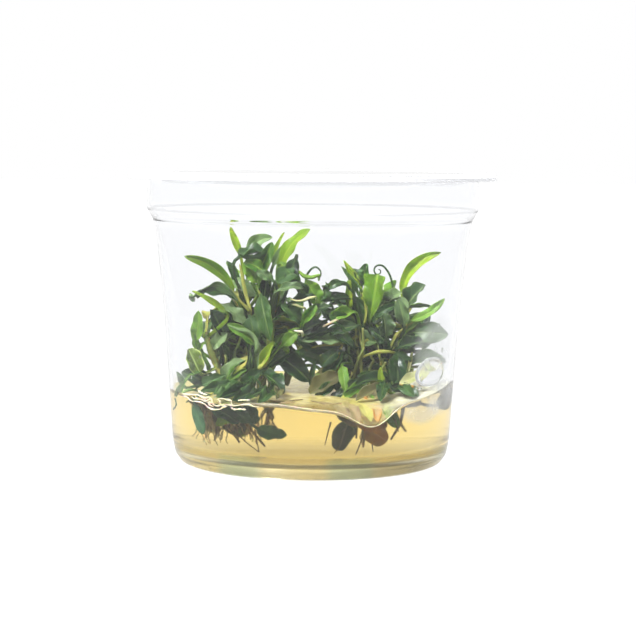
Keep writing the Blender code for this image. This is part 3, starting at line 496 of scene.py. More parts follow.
# Pale threads on the inside of the wall where the gel climbs it, as (x, height) points
WALL_THREADS = [
    [(-32.9, 19.3), (-31.1, 19.3), (-29.5, 19.6), (-28, 19.8), (-26.2, 19.3), (-25.2, 19.7), (-24.5, 19.3),
     (-24.4, 18.9), (-23.9, 18), (-23, 17.7), (-22, 18.1)],
    [(-32.3, 18.7), (-30.9, 18.7), (-29.7, 18), (-28.2, 18.1), (-26.9, 18), (-25.9, 17.6), (-25.2, 17),
     (-23.9, 16.7), (-22.3, 17), (-21.4, 17.6), (-20.4, 17.9)],
    [(-29.5, 19.1), (-28.9, 18.7), (-27.9, 18.8), (-26.5, 18.6), (-25.4, 18.3), (-24.9, 17.8), (-23.8, 17.3)],
    [(-27.2, 19), (-26.2, 18.5), (-25.2, 19), (-24.7, 19.5)],
    [(-26.9, 19.5), (-26.2, 19), (-25.9, 18.4), (-24.6, 18.3), (-23.6, 17.8)],
    [(-23, 19.5), (-22.3, 19), (-22.2, 18.1), (-21.1, 18.2), (-19.8, 18.3), (-19.4, 17.9)],
    [(-22.7, 19.6), (-21.4, 19.7), (-20.4, 19.5), (-19.5, 19.4), (-19.4, 18.7), (-18.9, 18.2), (-17.3, 18.5),
     (-15.3, 18.8), (-13.8, 18.4), (-12.1, 18.3)],
    [(-19.5, 17.7), (-18.7, 17.3), (-17.3, 17.5), (-15.8, 17.5)],
    [(-28, 21), (-26.9, 20.4), (-25.6, 20.2)],
    [(-17.8, 19.6), (-16.4, 19.8), (-14.9, 19.9)],
]
WALL_THREAD = 0.2

# Brown roots that lie on the gel's top, as (x, y) points
TOP_THREADS = [
    [(-8.4, -27), (-5, -22), (-2, -18.5)],
    [(-0.2, -20), (3.9, -26.5)],
    [(2, -22), (5, -24.5), (7.8, -23)],
    [(-10.5, -22), (-7, -25), (-4, -24)],
]
TOP_THREAD = 0.2

# A painted highlight round the wall at the gel's edge, for the meniscus's bright line: its reach in degrees
# from the front, and its thickness
HIGHLIGHT_REACH = (-24, 44)
HIGHLIGHT_THICK = 0.13
HIGHLIGHT_STEPS = 260

# Fog on the inside of the cup's wall: turn from the front in degrees, height, half widths, and how dense
FOGS = [
    (58, 31.5, 17, 10, 0.28),
    (64, 19.5, 15, 6, 0.3),
    (51, 16.6, 15, 4.4, 0.3),
]
# Painted glow of the fog, for the white light its drops scatter
FOG_PAINTED_GLOW = 0.36
FOG_DEPTHS = (0.04, 0.10)
FOG_ROWS = 24
FOG_COLUMNS = 40

# Water drops on the wall: turn from the front in degrees, height, half width, half height, depth
DROPS = [
    (54, 25.6, 6.4, 3.8, 1.1),
    (48, 24.4, 0.5, 0.8, 0.35),
    (50.2, 26.6, 0.35, 0.5, 0.25),
    (45.5, 22.3, 0.6, 0.4, 0.3),
    (47.5, 22, 0.8, 0.35, 0.25),
    (57, 37.6, 0.4, 0.5, 0.25),
    (61.5, 31, 0.5, 0.7, 0.3),
    (-55, 24, 0.4, 0.6, 0.3),
    (-48, 29.5, 0.3, 0.4, 0.2),
    (12, 33, 0.3, 0.4, 0.2),
]
DROP_SINK = 0.03
DROP_MIDDLE = 0.04
DROP_RINGS = 12
DROP_STEPS = 28
DROP_LIFT = 0.12

# Narrow curled leaves, petioles and scraps by finish: width, depth and (x, z) points, the foot last
STRIPS = {
    "dark": [
        (1.6, -7, [(8.4, 47.4), (6.1, 47.1), (3.6, 46.4)]),
        (2.4, -7, [(4.6, 46.6), (3.6, 45.1), (3.8, 43)]),
        (0.6, -6, [(10.3, 43), (8.7, 44), (6.9, 44.5), (5.4, 44.5), (4.4, 43.7)]),
        (1, -7, [(2.3, 42.3), (3.6, 43), (5.1, 42.8), (6.4, 42), (7.4, 40.7)]),
        (0.7, -5, [(8.7, 49.8), (10, 48.3), (11.6, 46.5), (12.9, 44.4)]),
        (2.2, -8, [(-16.6, 34.9), (-15.8, 31.9), (-15.8, 28.3), (-16.1, 24.2)]),
        (1.7, -5, [(-18.8, 54.2), (-16.7, 53.2), (-14.4, 53.2), (-12.3, 54.2)]),
        (1.5, -6, [(16.2, 41.4), (17.4, 43), (19.2, 43), (20.8, 42.2)]),
    ],
    "straw": [
        (0.6, -11, [(-5.6, 43.1), (-3.8, 42.6), (-2, 42.8), (-0.5, 43.4), (1, 43.6)]),
        (0.6, -11, [(-5.1, 41.8), (-3.6, 41.3), (-1.8, 40.6)]),
    ],
    "cream": [
        (0.6, -9, [(2.8, 35.8), (4.3, 36.6), (6.6, 37.6)]),
        (0.7, -10, [(-4.6, 34.9), (-2.3, 34.4)]),
        (0.8, -8, [(-28.6, 23.2), (-27.6, 22.4), (-26.8, 21.7)]),
    ],
    "rust": [
        (0.6, -15.5, [(22.2, 22), (23.8, 21.4), (25.9, 21.3)]),
    ],
    "grey": [
        (1, -6, [(31, 41), (28.6, 41.6), (25, 41)]),
        (1.3, -10, [(-21.4, 36.1), (-18.8, 34.9), (-16.3, 34.4), (-14.5, 32.6), (-14, 29.5)]),
        (2.4, -6, [(-19, 42.2), (-21.5, 44.8), (-24.4, 46.3), (-26.9, 45.5), (-29.2, 44.2), (-30.5, 43)]),
        (1.5, -6, [(19, 43.2), (21.3, 43), (23.6, 42.2), (24.4, 39.9)]),
    ],
    "lime": [
        (0.8, -5, [(8, 52.7), (9.3, 51.1), (10.8, 49.3), (12.3, 46.7)]),
        (1.3, -6, [(9.7, 47.8), (9.5, 45.5), (9.7, 43), (10, 40.9)]),
        (0.9, -10, [(-16.8, 25.2), (-18.3, 24.7), (-19.8, 23.7)]),
    ],
    "olive": [
        (0.9, -7, [(0, 30.2), (2.6, 30.8), (5.4, 31), (7.9, 31.3), (10.2, 32.3), (11.8, 33.1)]),
        (0.75, -7.5, [(7.9, 31.1), (6.9, 29.5), (6.4, 27.2), (6.4, 24.4)]),
        (1.1, -8, [(13.3, 28), (15.3, 28.8), (17.9, 29.3), (21.2, 29.1)]),
        (1.1, -7, [(20.2, 30), (21.2, 32.3), (22.3, 34.1), (24.1, 35.6), (25.9, 36.9)]),
        (0.8, -7, [(12.8, 44.6), (13.6, 41.8), (13.8, 39.5), (13.6, 36.9)]),
        (1.1, -6, [(-27.4, 34), (-26.9, 30.9), (-25.9, 27.6), (-24.1, 24), (-22.1, 20.4)]),
        (0.9, -11, [(-13.7, 22.8), (-13.7, 20), (-14, 16.2)]),
        (1.7, -10, [(-10.9, 31.1), (-11.5, 28.5), (-12.7, 25.2)]),
        (1, -5, [(-18.8, 51.6), (-18, 47.5), (-17, 43.1), (-15.7, 39)]),
        (0.9, -6, [(-20.8, 45), (-19, 42.5), (-16.4, 39.6)]),
        (1, -6, [(-13.9, 45), (-13.3, 43), (-13.6, 40.1)]),
        (0.8, -6, [(10.5, 24), (9.2, 20.9), (8, 18.1), (7.7, 15.8)]),
        (0.5, -5, [(1.3, 26.2), (2.3, 28), (3.3, 29.5)]),
        (0.9, -10, [(-21.4, 19.6), (-23.9, 19.6), (-26, 18.3)]),
    ],
    "green": [
        (1.4, -7.5, [(-30.2, 33.9), (-29.4, 31.1), (-28.1, 28.2), (-26.3, 24.9)]),
        (0.8, -9, [(-6.6, 32.5), (-8.7, 29.9), (-10.7, 27.1), (-12.7, 24.6)]),
        (0.9, -9.5, [(-16.8, 27.2), (-18.8, 26.2), (-20.6, 24.9), (-21.4, 22.3)]),
        (0.8, -9, [(-33.4, 17.7), (-32.4, 18.7), (-30.3, 19.2), (-28.3, 18.7), (-26.8, 17.7)]),
        (1.1, -9.5, [(-33.4, 17.5), (-33.1, 16.5), (-33.1, 15.2)]),
        (1.2, -6, [(-3.8, 50.1), (-2.3, 48.6), (-0.5, 48.1), (1.8, 48.6)]),
        (1.6, -9, [(-3.6, 34.5), (-5.6, 33), (-7.1, 30.7), (-6.1, 29.4)]),
        (1.6, -6, [(28.5, 37.8), (26.4, 36.8), (24.9, 34.8)]),
    ],
}
STRIP_FOOT = (0.0, 4.5, -1.5)
STRIP_SIDE = (0.6, -0.4, 0.7)
STRIP_THICK = 0.45
STRIP_CUP = 0.2
STRIP_RING = 12

# Curls of young leaves, from their foot to their tip, and how thick they are
TENDRILS = [
    ("left_tendril", [(0.4, -0.6, 36.5), (-0.8, -2.5, 43), (-1.6, -4, 47.6), (-0.6, -4.4, 50),
                      (0.9, -4.6, 50.9), (2.1, -4.8, 49.9), (2.2, -5, 48.4)], 0.42),
    ("right_tendril", [(21.6, -2.6, 36), (21.2, -2.6, 42), (20.9, -2.6, 46), (19.9, -2.6, 49.2),
                       (18.3, -2.6, 51.2), (16.7, -2.7, 51.3), (16, -2.8, 50.2), (16.5, -2.9, 49.1),
                       (17.5, -3, 49.3), (17.6, -3.1, 50.1), (17, -3.2, 50.4)], 0.34),
]

# Bare stalks and fine roots, which start from places along the rhizome: their radii go from foot to
# tip, and each other pair is the least and the most of a number drawn at random
RHIZOME_PLACES = 50
PLACE_OFF = 0.8
STALK_SHARES = (0.1, 0.9)
STALK_DEPTHS = (-2.0, 0.5)
STALK_LEANS = ((-4.0, 4.0), (-5.5, 1.0), (9.0, 17.0))
STALK_RADII = (0.5, 0.3)
STALK_SWAY = 0.5
FINE_ROOTS = {"left": 60, "right": 20}
FINE_ROOT_PLACES = {"left": (4, 46), "right": (2, 24)}
FINE_ROOT_DEPTHS = (0.0, 3.0)
FINE_ROOT_FALLS = ((-3.5, 3.5), (-6.0, 3.0), (4.0, 11.0))
FINE_ROOT_RADII = (0.24, 0.10)
FINE_ROOT_SWAY = 0.3
FINE_ROOT_CLEAR = 0.6
WANDER_TURNS = (0.6, 2.2)
WANDER_STEPS = 36


class Tuft(NamedTuple):
    """The egg-shaped room that a tuft's inner leaves fill, and how many leaves and bare stalks it has."""
    middle: tuple
    reach: tuple
    leaves: int
    stalks: int


TUFTS = {
    "left": Tuft((-14.5, 1.5, 34.0), (14.5, 13.0, 18.5), 100, 6),
    "right": Tuft((15.5, 1.5, 31.5), (15.5, 13.0, 15.0), 85, 8),
}

# Inner leaves: each pair is the least and the most of a number drawn at random
INNER_SHARES = (0.08, 0.98)
INNER_REACH = (2.5, 6.0)
INNER_RISE = (0.5, 4.5)
INNER_SPREAD = 0.35
INNER_PITCH = (-0.8, 0.8)
INNER_LENGTHS = (6.0, 10.5)
INNER_CLEAR = 1.5
INNER_FRONT = -4.5
INNER_LEAN = 0.4
INNER_ROLL = 0.3
INNER_WIDTHS = (0.36, 0.52)
INNER_ARCHES = (0.3, 1.5)
INNER_SWAY = 0.5
INNER_KINDS = ("dark", "dark", "dark", "grey", "green", "moss", "olive")

# Stage: each light has the way it shines, its strength and its spread in degrees
LIGHTS = [
    ("key", (0.5, 0.6, -1.0), 5.3, 12),
    ("back", (-0.4, -0.8, -1.0), 1.2, 40),
]
FLOOR_HALF = 4.0
CARD_REACH = (1.2, 0.8, 1.0)
SENSOR = 36.0
CLIPS = (0.01, 20.0)
CLEAR_BOUNCES = 32


# Numbers

def unit(vectors):
    """Each vector divided by its own length."""
    return vectors / np.maximum(np.linalg.norm(vectors, axis=-1, keepdims=True), 1e-12)


def across_rows(values):
    """A row of numbers turned to stand against an array of rows and columns."""
    return np.asarray(values)[:, None]


def shares(count):
    """This many shares, from 0 at the start to 1 at the end."""
    return np.linspace(0, 1, count)


def angles(count):
    """This many equal steps of one turn, from 0."""
    return np.linspace(0, 2 * math.pi, count, endpoint=False)


def round_axis(radius, angle, height):
    """Points at these radii, angles and heights round the axis, with angle 0 along +X."""
    return np.stack(np.broadcast_arrays(radius * np.cos(angle), radius * np.sin(angle), height), -1)


def from_front(radius, angle, height):
    """The same with angle 0 at the front, and growing to the right."""
    return np.stack(np.broadcast_arrays(radius * np.sin(angle), -radius * np.cos(angle), height), -1)


def bent(start, middle, end, t):
    """The quadratic curve (1 - t)^2 start + 2 t (1 - t) middle + t^2 end."""
    return (1 - t) ** 2 * start + 2 * t * (1 - t) * middle + t ** 2 * end


def smooth_route(points, count):
    """A route of count points through the given ones.

    Between two given points it is the Catmull-Rom cubic, whose slope at each given
    point is half the step between that point's two neighbours.
    """
    given = np.array(points, float)
    given = np.vstack([2 * given[0] - given[1], given, 2 * given[-1] - given[-2]])
    place = np.linspace(0, len(points) - 1, count)
    index = np.minimum(place.astype(int), len(points) - 2)
    t = (place - index)[:, None]
    before, here, ahead, after = (given[index + k] for k in range(4))
    bend = 2 * here + (ahead - before) * t
    bend += (2 * before - 5 * here + 4 * ahead - after) * t ** 2
    bend += (3 * here - before - 3 * ahead + after) * t ** 3
    return bend / 2


class Surface(NamedTuple):
    """Points in millimetres with their faces, each point's place on the pattern, and its tone."""
    points: np.ndarray
    quads: np.ndarray
    triangles: np.ndarray
    pattern: np.ndarray
    tone: np.ndarray


def joined(surfaces):
    """Several surfaces as one, each one's face numbers raised by the points before it."""
    starts = np.cumsum([0] + [len(made.points) for made in surfaces])
    return Surface(
        np.concatenate([made.points for made in surfaces]),
        np.concatenate([made.quads + start for made, start in zip(surfaces, starts)]),
        np.concatenate([made.triangles + start for made, start in zip(surfaces, starts)]),
        np.concatenate([made.pattern for made in surfaces]),
        np.concatenate([made.tone for made in surfaces]),
    )


def face_middles(surface):
    """The middle of every face, quads first."""
    return np.concatenate([surface.points[faces].mean(1) for faces in (surface.quads, surface.triangles)])


def tube_faces(rows, ring):
    """The quads between neighbouring rings, and the triangles that close both ends on a point each.

    Ring r holds points r * ring to (r + 1) * ring - 1. The two end points come after
    all the rings.
    """
    row = np.arange(rows - 1)[:, None] * ring
    column = np.arange(ring)
    after = (column + 1) % ring
    quads = np.stack([row + column, row + after, row + ring + after, row + ring + column], -1)
    first, last = rows * ring, rows * ring + 1
    start = np.stack([np.full(ring, first), after, column], -1)
    end_row = (rows - 1) * ring
    end = np.stack([np.full(ring, last), end_row + column, end_row + after], -1)
    return quads.reshape(-1, 4), np.concatenate([start, end])


def closed_tube(rings, pattern=None, tone=0.5):
    """A closed surface through rings (rows, ring, 3), with a point at the middle of each end ring.

    Its volume is a sixth of the sum over its triangles of a . (b x c). Where that is
    below nothing the faces point inwards, and every face's order is turned round.
    """
    rows, ring = rings.shape[:2]
    pattern = np.zeros((rows, ring, 2)) if pattern is None else pattern
    points = np.concatenate([rings.reshape(-1, 3), rings[[0, -1]].mean(1)])
    pattern = np.concatenate([pattern.reshape(-1, 2), pattern[[0, -1]].mean(1)])
    quads, triangles = tube_faces(rows, ring)
    halves = np.concatenate([quads[:, [0, 1, 2]], quads[:, [0, 2, 3]], triangles])
    a, b, c = (points[halves[:, corner]] for corner in range(3))
    if np.einsum("ij,ij->", a, np.cross(b, c)) < 0:
        quads, triangles = quads[:, ::-1], triangles[:, ::-1]
    return Surface(points, quads, triangles, pattern, np.full(len(points), tone))


def tube(route, radii, ring=10, tone=0.5):
    """A round tube along a route: each ring is route + radius * (cos * side + sin * up).

    Side is square to the route and to the route's own mean bend, so that a curl
    keeps its rings untwisted.
    """
    route = np.array(route, float)
    ahead = unit(np.gradient(route, axis=0))
    bend = np.cross(ahead[:-1], ahead[1:]).sum(0)
    if np.linalg.norm(bend) < 1e-3:
        bend = np.eye(3)[np.argmin(np.abs(ahead.mean(0)))]
    side = unit(np.cross(ahead, unit(bend)))
    up = np.cross(ahead, side)
    angle = angles(ring)
    radii = np.broadcast_to(radii, len(route))[:, None, None]
    rings = route[:, None] + radii * (
        np.cos(angle)[None, :, None] * side[:, None] + np.sin(angle)[None, :, None] * up[:, None])
    along = np.repeat(across_rows(shares(len(route))), ring, 1)
    around = np.repeat((angle / (2 * math.pi))[None], len(route), 0)
    return closed_tube(rings, np.stack([along, around], -1), tone)


def turned(profile, steps):
    """A closed surface of revolution: point (r, z) of the profile at angle a goes to (r cos a, r sin a, z).

    The profile starts and ends on the axis. Its two axis points become the end points.
    """
    profile = np.array(profile, float)
    made = closed_tube(round_axis(profile[1:-1, :1], angles(steps), profile[1:-1, 1:]))
    made.points[-2:] = [(0, 0, profile[0, 1]), (0, 0, profile[-1, 1])]
    return made


def rounded(profile, fillet):
    """The profile with each corner replaced by a bent curve from one fillet before it to one after it.

    A fillet is never longer than 0.45 of the shorter side that meets there.
    """
    points = np.array(profile, float)
    sides = np.linalg.norm(np.diff(points, axis=0), axis=1)
    reach = np.minimum(fillet, 0.45 * np.minimum(sides[:-1], sides[1:]))[:, None]
    corner = points[1:-1]
    start = corner + reach * unit(points[:-2] - corner)
    end = corner + reach * unit(points[2:] - corner)
    arcs = bent(start[:, None], corner[:, None], end[:, None], shares(FILLET_STEPS)[None, :, None])
    return np.concatenate([points[:1], arcs.reshape(-1, 2), points[-1:]])


# Pieces

def make_piece(name, surface, materials, slot, stands_for=(), choice=None):
    """Turn a surface into an object that rides on the part, with its finish. The slot is not used."""
    mesh = bpy.data.meshes.new(name)
    corners = np.concatenate([surface.quads.ravel(), surface.triangles.ravel()]).astype(np.int32)
    starts = np.concatenate([
        np.arange(len(surface.quads)) * 4,
        len(surface.quads) * 4 + np.arange(len(surface.triangles)) * 3])
    mesh.vertices.add(len(surface.points))
    mesh.vertices.foreach_set("co", (surface.points * MM).astype(np.float32).ravel())
    mesh.loops.add(len(corners))
    mesh.loops.foreach_set("vertex_index", corners)
    mesh.polygons.add(len(starts))
    mesh.polygons.foreach_set("loop_start", starts.astype(np.int32))
    if choice is not None:
        mesh.polygons.foreach_set("material_index", choice.astype(np.int32))
    mesh.update(calc_edges=True)
    layer = mesh.uv_layers.new(name="pattern")
    layer.data.foreach_set("uv", surface.pattern[corners].astype(np.float32).ravel())
    tone = mesh.attributes.new("tone", "FLOAT", "POINT")
    tone.data.foreach_set("value", surface.tone.astype(np.float32))
    mesh.shade_smooth()
    mesh.validate()
    for material in materials:
        mesh.materials.append(material)
    piece = bpy.data.objects.new(name, mesh)
    bpy.context.scene.collection.objects.link(piece)
    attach(piece, BODY)
    if stands_for:
        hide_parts(*stands_for)


# Finishes

class Value:
    """A shader socket in a Python expression, where each operator adds its Math node."""

    def __init__(self, finish, socket):
        self.finish, self.socket = finish, socket

    def maths(self, operation, *others):
        """The Math node of that operation, on this value and the others."""
        return self.finish.node("ShaderNodeMath", dict(enumerate((self, *others))), operation=operation)

    def __add__(self, other):
        return self.maths("ADD", other)

    def __mul__(self, other):
        return self.maths("MULTIPLY", other)

    def __sub__(self, other):
        return self.maths("SUBTRACT", other)

    def __rsub__(self, other):
        return self.finish.node("ShaderNodeMath", {0: other, 1: self}, operation="SUBTRACT")

    def __abs__(self):
        return self.maths("ABSOLUTE")


class Finish:
    """A material, or the surround, being made."""

    def __init__(self, name, kept_in=bpy.data.materials, output="ShaderNodeOutputMaterial"):
        self.made = kept_in.new(name)
        self.made.use_nodes = True
        self.tree = self.made.node_tree
        self.tree.nodes.clear()
        self.output = self.tree.nodes.new(output)

    def node(self, kind, inputs=None, output=0, **settings):
        """Add a node, set it, fill its sockets with numbers or links, and give one output."""
        made = self.tree.nodes.new(kind)
        for key, setting in settings.items():
            setattr(made, key, setting)
        for key, given in (inputs or {}).items():
            if isinstance(given, Value):
                self.tree.links.new(given.socket, made.inputs[key])
            else:
                made.inputs[key].default_value = given
        return Value(self, made.outputs[output])

    def place(self):
        """The object's own coordinates, in metres."""
        return self.node("ShaderNodeTexCoord", output="Object")

    def part_of(self, vector, name):
        """The X, Y or Z of a vector."""
        return self.node("ShaderNodeSeparateXYZ", {"Vector": vector}, name)

    def axis(self, name):
        """One of the object's own coordinates, in metres."""
        return self.part_of(self.place(), name)

    def pattern(self):
        """The place on the piece's own pattern."""
        return self.node("ShaderNodeUVMap", uv_map="pattern")

    def tone(self):
        """The tone that each leaf or stalk has of its own, from 0 to 1."""
        return self.node("ShaderNodeAttribute", output="Fac", attribute_name="tone")

    def ray(self, name):
        """What the light path tells of the ray that arrives."""
        return self.node("ShaderNodeLightPath", output=name)

    def looked_at(self):
        """1 for what the eye sees, also through clear things and in gloss, and 0 for light on dull skins."""
        seen = self.ray("Is Camera Ray") + self.ray("Is Glossy Ray") + self.ray("Is Transmission Ray")
        dull = self.ray("Diffuse Depth").maths("MINIMUM", 1.0)
        return seen.maths("MINIMUM", 1.0) * (1.0 - dull)

    def noise(self, scale, detail=2.0, stretch=(1.0, 1.0, 1.0), roughness=0.5, distortion=0.0):
        """Noise of this many cells a metre."""
        place = self.node("ShaderNodeMapping", {"Vector": self.place(), "Scale": stretch})
        return self.node("ShaderNodeTexNoise", {
            "Vector": place, "Scale": scale, "Detail": detail, "Roughness": roughness,
            "Distortion": distortion})

    def between(self, value, low, high):
        """0 where the value is under low and 1 over high, with a smooth step between."""
        return self.node(
            "ShaderNodeMapRange", {"Value": value, "From Min": low, "From Max": high},
            interpolation_type="SMOOTHSTEP")

    def mix(self, share, first, second):
        """A colour part of the way from the first to the second."""
        inputs = {0: share, 6: colour(first), 7: colour(second)}
        return self.node("ShaderNodeMix", inputs, 2, data_type="RGBA")

    def bump(self, height, distance, strength=1.0):
        """A normal from a height of this many metres."""
        return self.node("ShaderNodeBump", {"Height": height, "Distance": distance, "Strength": strength})

    def surface(self, inputs):
        """A Principled shader with these inputs."""
        return self.node("ShaderNodeBsdfPrincipled", {
            key: colour(given) if key.endswith("Color") else given for key, given in inputs.items()})

    def blend(self, share, first, second):
        """A shader part of the way from the first to the second."""
        return self.node("ShaderNodeMixShader", {0: share, 1: first, 2: second})

    def finished(self, surface, volume=None):
        """Link the shaders to the output and give the material."""
        self.tree.links.new(surface.socket, self.output.inputs["Surface"])
        if volume is not None:
            self.tree.links.new(volume.socket, self.output.inputs["Volume"])
        return self.made

    def clear(self, body, shade, inner, density):
        """A clear material: light passes it by its body, and a ray that only asks for shade goes straight
        through the tint of its shade. Inside it the inner colour is left over, by density a metre."""
        straight = self.node("ShaderNodeBsdfTransparent", {"Color": colour(shade)})
        both = self.blend(self.ray("Is Shadow Ray"), body, straight)
        return self.finished(
            both, self.node("ShaderNodeVolumeAbsorption", {"Color": colour(inner), "Density": density}))


def colour(given):
    """A colour with its fourth number, or a link as it is."""
    return given if isinstance(given, Value) else (*given, 1.0)


def once(name, make, *details):
    """The material of that name, made only where there is none yet."""
    return bpy.data.materials.get(name) or make(Finish(name), *details)


def leaf_skin(finish, look):
    """A leaf's skin: mottled green with painted light on one half, as if lit across its fold, a pale midrib
    and rim, and slanting side veins.
    """
    pattern = finish.pattern()
    along, sideways, tone = finish.part_of(pattern, "X"), finish.part_of(pattern, "Y"), finish.tone()
    off_rib = abs(sideways * 2.0 - 1.0)
    rib = 1.0 - finish.between(off_rib, 0.0, 0.16)
    rim = finish.between(off_rib, 0.80, 1.0)
    vein = abs((along * SIDE_VEINS - off_rib * VEIN_SLANT).maths("SINE"))
    vein = 1.0 - finish.between(vein, 0.0, 0.35)
    mottle = finish.noise(420.0, 3.0)
    cloud = finish.noise(95.0)
    grain = finish.noise(2600.0)
    pale = mottle * 0.55 + cloud * 0.45 + tone * 0.4
    base = finish.mix(finish.between(pale, 0.45, 0.95), look.main, look.light)
    base = finish.mix(finish.between(cloud * 0.6 + (1.0 - tone) * 0.5, 0.5, 0.85), base, look.deep)
    # painted light: one half of the blade lighter, as if lit across its fold
    base = finish.mix(finish.between(sideways, 0.44, 0.56) * (tone * 0.25 + 0.15), base, look.light)
    base = finish.mix(rib * 0.7 + vein * 0.12, base, look.rib)
    base = finish.mix(rim * (look.rim - mottle * 0.5), base, look.rib)
    height = mottle * 0.5 - rib * 0.8 - vein * 0.35 + grain * 0.12
    return finish.finished(finish.surface({
        "Base Color": base,
        "Roughness": mottle * 0.18 + (look.roughness - 0.09),
        "Subsurface Weight": look.glow,
        "Subsurface Radius": (0.5, 1.0, 0.25),
        "Subsurface Scale": 0.0012,
        "IOR": 1.45,
        "Specular IOR Level": LEAF_GLOSS * (1.0 - GLOW_DULLS * look.glow),
        "Normal": finish.bump(height, 0.00012, 0.8),
    }))


def bark(finish, base, grain, roughness, relief, glow=0.0):
    """A skin of that colour over a grain, which makes it rougher from its lowest by a share, and uneven
    by its relief in metres. Where it glows, light also spreads a millimetre under it."""
    share, lowest = roughness
    inputs = {"Base Color": base, "Roughness": grain * share + lowest, "Normal": finish.bump(grain, relief)}
    if glow:
        inputs |= {"Subsurface Weight": glow, "Subsurface Scale": 0.001}
    return finish.finished(finish.surface(inputs))


def shoot_skin(finish):
    """A shoot's skin: olive and yellow-green, browner low down, with fine lengthwise grain."""
    grain = finish.noise(900.0, 3.0, (1.0, 1.0, 0.2))
    base = finish.mix(finish.between(finish.axis("Z"), 0.020, 0.036), (0.16, 0.17, 0.035), (0.27, 0.34, 0.05))
    base = finish.mix(grain * 0.5, base, (0.09, 0.12, 0.02))
    return bark(finish, base, grain, (0.2, 0.4), 0.0002, 0.2)


def stalk_skin(finish):
    """A bare stalk's skin: yellow-green to pale olive, each stalk in its own shade."""
    grain = finish.noise(700.0, 3.0)
    base = finish.mix(finish.tone(), (0.15, 0.24, 0.04), (0.33, 0.36, 0.08))
    base = finish.mix(grain * 0.4, base, (0.10, 0.14, 0.02))
    return bark(finish, base, grain, (0.2, 0.35), 0.0001, 0.3)


def rhizome_skin(finish):
    """The rhizome's and thick roots' skin: brown bark in paler and darker blotches."""
    blotch = finish.noise(350.0, 4.0)
    base = finish.mix(finish.between(blotch, 0.35, 0.7), (0.10, 0.07, 0.03), (0.36, 0.27, 0.13))
    return bark(finish, base, blotch, (0.3, 0.45), 0.0004)


def root_skin(finish):
    """The fine roots' skin: cream to tan, with darker stretches."""
    stretch = finish.noise(240.0, 3.0)
    base = finish.mix(finish.between(stretch, 0.35, 0.65), (0.52, 0.46, 0.23), (0.23, 0.20, 0.095))
    return bark(finish, base, stretch, (0.2, 0.45), 0.0001, 0.3)


class Clear(NamedTuple):
    """A clear stuff: its surface's tint, how it bends light and shines, the colour left of light inside it,
    how strongly it takes up light a metre, and its waves' height in metres and number of cells a metre."""
    tint: tuple
    ior: float
    gloss: float
    inner: tuple
    density: float
    wave: float
    wave_scale: float


def clear_skin(finish, stuff, roughness, frost=0.0, skin=None, cover=None):
    """A clear body: plain transmission and absorption, with a faint wave in its surface.

    Frost is the share of its light that it scatters as a white skin, which also has a faint
    painted glow that lightens its shaded side. A skin gives the surface a colour that changes
    over it, and a cover lays another surface over part of it.
    """
    body = finish.surface({
        "Base Color": skin(finish) if skin else stuff.tint, "Roughness": roughness, "IOR": stuff.ior,
        "Transmission Weight": 1.0 - frost, "Specular IOR Level": stuff.gloss,
        "Normal": finish.bump(finish.noise(stuff.wave_scale), stuff.wave),
        # the frosted share also has a painted glow
        "Emission Color": WHITE, "Emission Strength": frost * FROST_PAINTED_GLOW})
    body = cover(finish, body) if cover else body
    return finish.clear(body, stuff.tint, stuff.inner, stuff.density)


WATER = Clear(WHITE, 1.333, 0.5, (0.9, 0.95, 1.0), 1.0, 0.00002, 300.0)


# Cup and film

def inner_wall():
    """The inside of the tapered side as (radius, height) points from the floor up."""
    return INNER_CORNER + [(radius - WALL, height) for radius, height in reversed(SIDE[:-1])]


def inner_radius(height):
    """The radius of the cup's inside at a height or heights on its tapered side."""
    radii, heights = np.array(inner_wall()).T
    return np.interp(height, heights, radii)


def cup_profile():
    """The cup's profile from the middle of its floor, up inside, over the flange and down outside."""
    inner = [(0.0, FLOOR_TOP), (FLOOR_EDGE, FLOOR_TOP)] + inner_wall()
    rise = np.linspace(0, 2 * RIDGE_HALF, RIDGE_STEPS)
    inner += [
        *zip(SHOULDER_RADIUS - WALL + RIDGE_SLOPE * rise, SHOULDER_BOTTOM + rise),
        (COLLAR_RADIUS - WALL, COLLAR_BOTTOM),
        (COLLAR_RADIUS - WALL, FLANGE_TOP),
    ]
    under = FLANGE_TOP - FLANGE_THICK
    flange = [
        (FLANGE_RADIUS, FLANGE_TOP),
        (FLANGE_RADIUS, under - LIP_DROP),
        (FLANGE_RADIUS - LIP_WIDTH, under - LIP_DROP),
        (FLANGE_RADIUS - LIP_WIDTH, under),
    ]
    outer = [(COLLAR_RADIUS, under), (COLLAR_RADIUS, COLLAR_BOTTOM), (SHOULDER_RADIUS, SHOULDER_BOTTOM)]
    foot = [(FOOT_OUTER, 0.0), (FOOT_INNER, 0.0), (FLOOR_EDGE, FLOOR_UNDER), (0.0, FLOOR_UNDER)]
    return inner + flange + outer + SIDE + CORNER + foot


class CupSettings(bpy.types.PropertyGroup):
    """Look of the clear cup and its film."""
    steps: bpy.props.IntProperty(
        name="Steps", description="Flat sides round the cup", default=192, min=24, max=360)
    tint: bpy.props.FloatVectorProperty(
        name="Tint", description="Colour of the clear plastic's surface", subtype="COLOR",
        default=(0.910, 0.915, 0.926), min=0.0, max=1.0)
    density: bpy.props.FloatProperty(
        name="Density", description="How strongly the plastic takes up light, per metre",
        default=2.5, min=0.0)


class GelSettings(bpy.types.PropertyGroup):
    """Look of the nutrient gel."""
    colour: bpy.props.FloatVectorProperty(
        name="Colour", description="Colour that light takes on its way through the gel", subtype="COLOR",
        default=(0.932, 0.750, 0.013), min=0.0, max=1.0)
    density: bpy.props.FloatProperty(
        name="Density", description="How strongly the gel takes up light, per metre", default=22.5, min=0.0)
    steps: bpy.props.IntProperty(
        name="Steps", description="Flat sides round the gel", default=192, min=24, max=360)


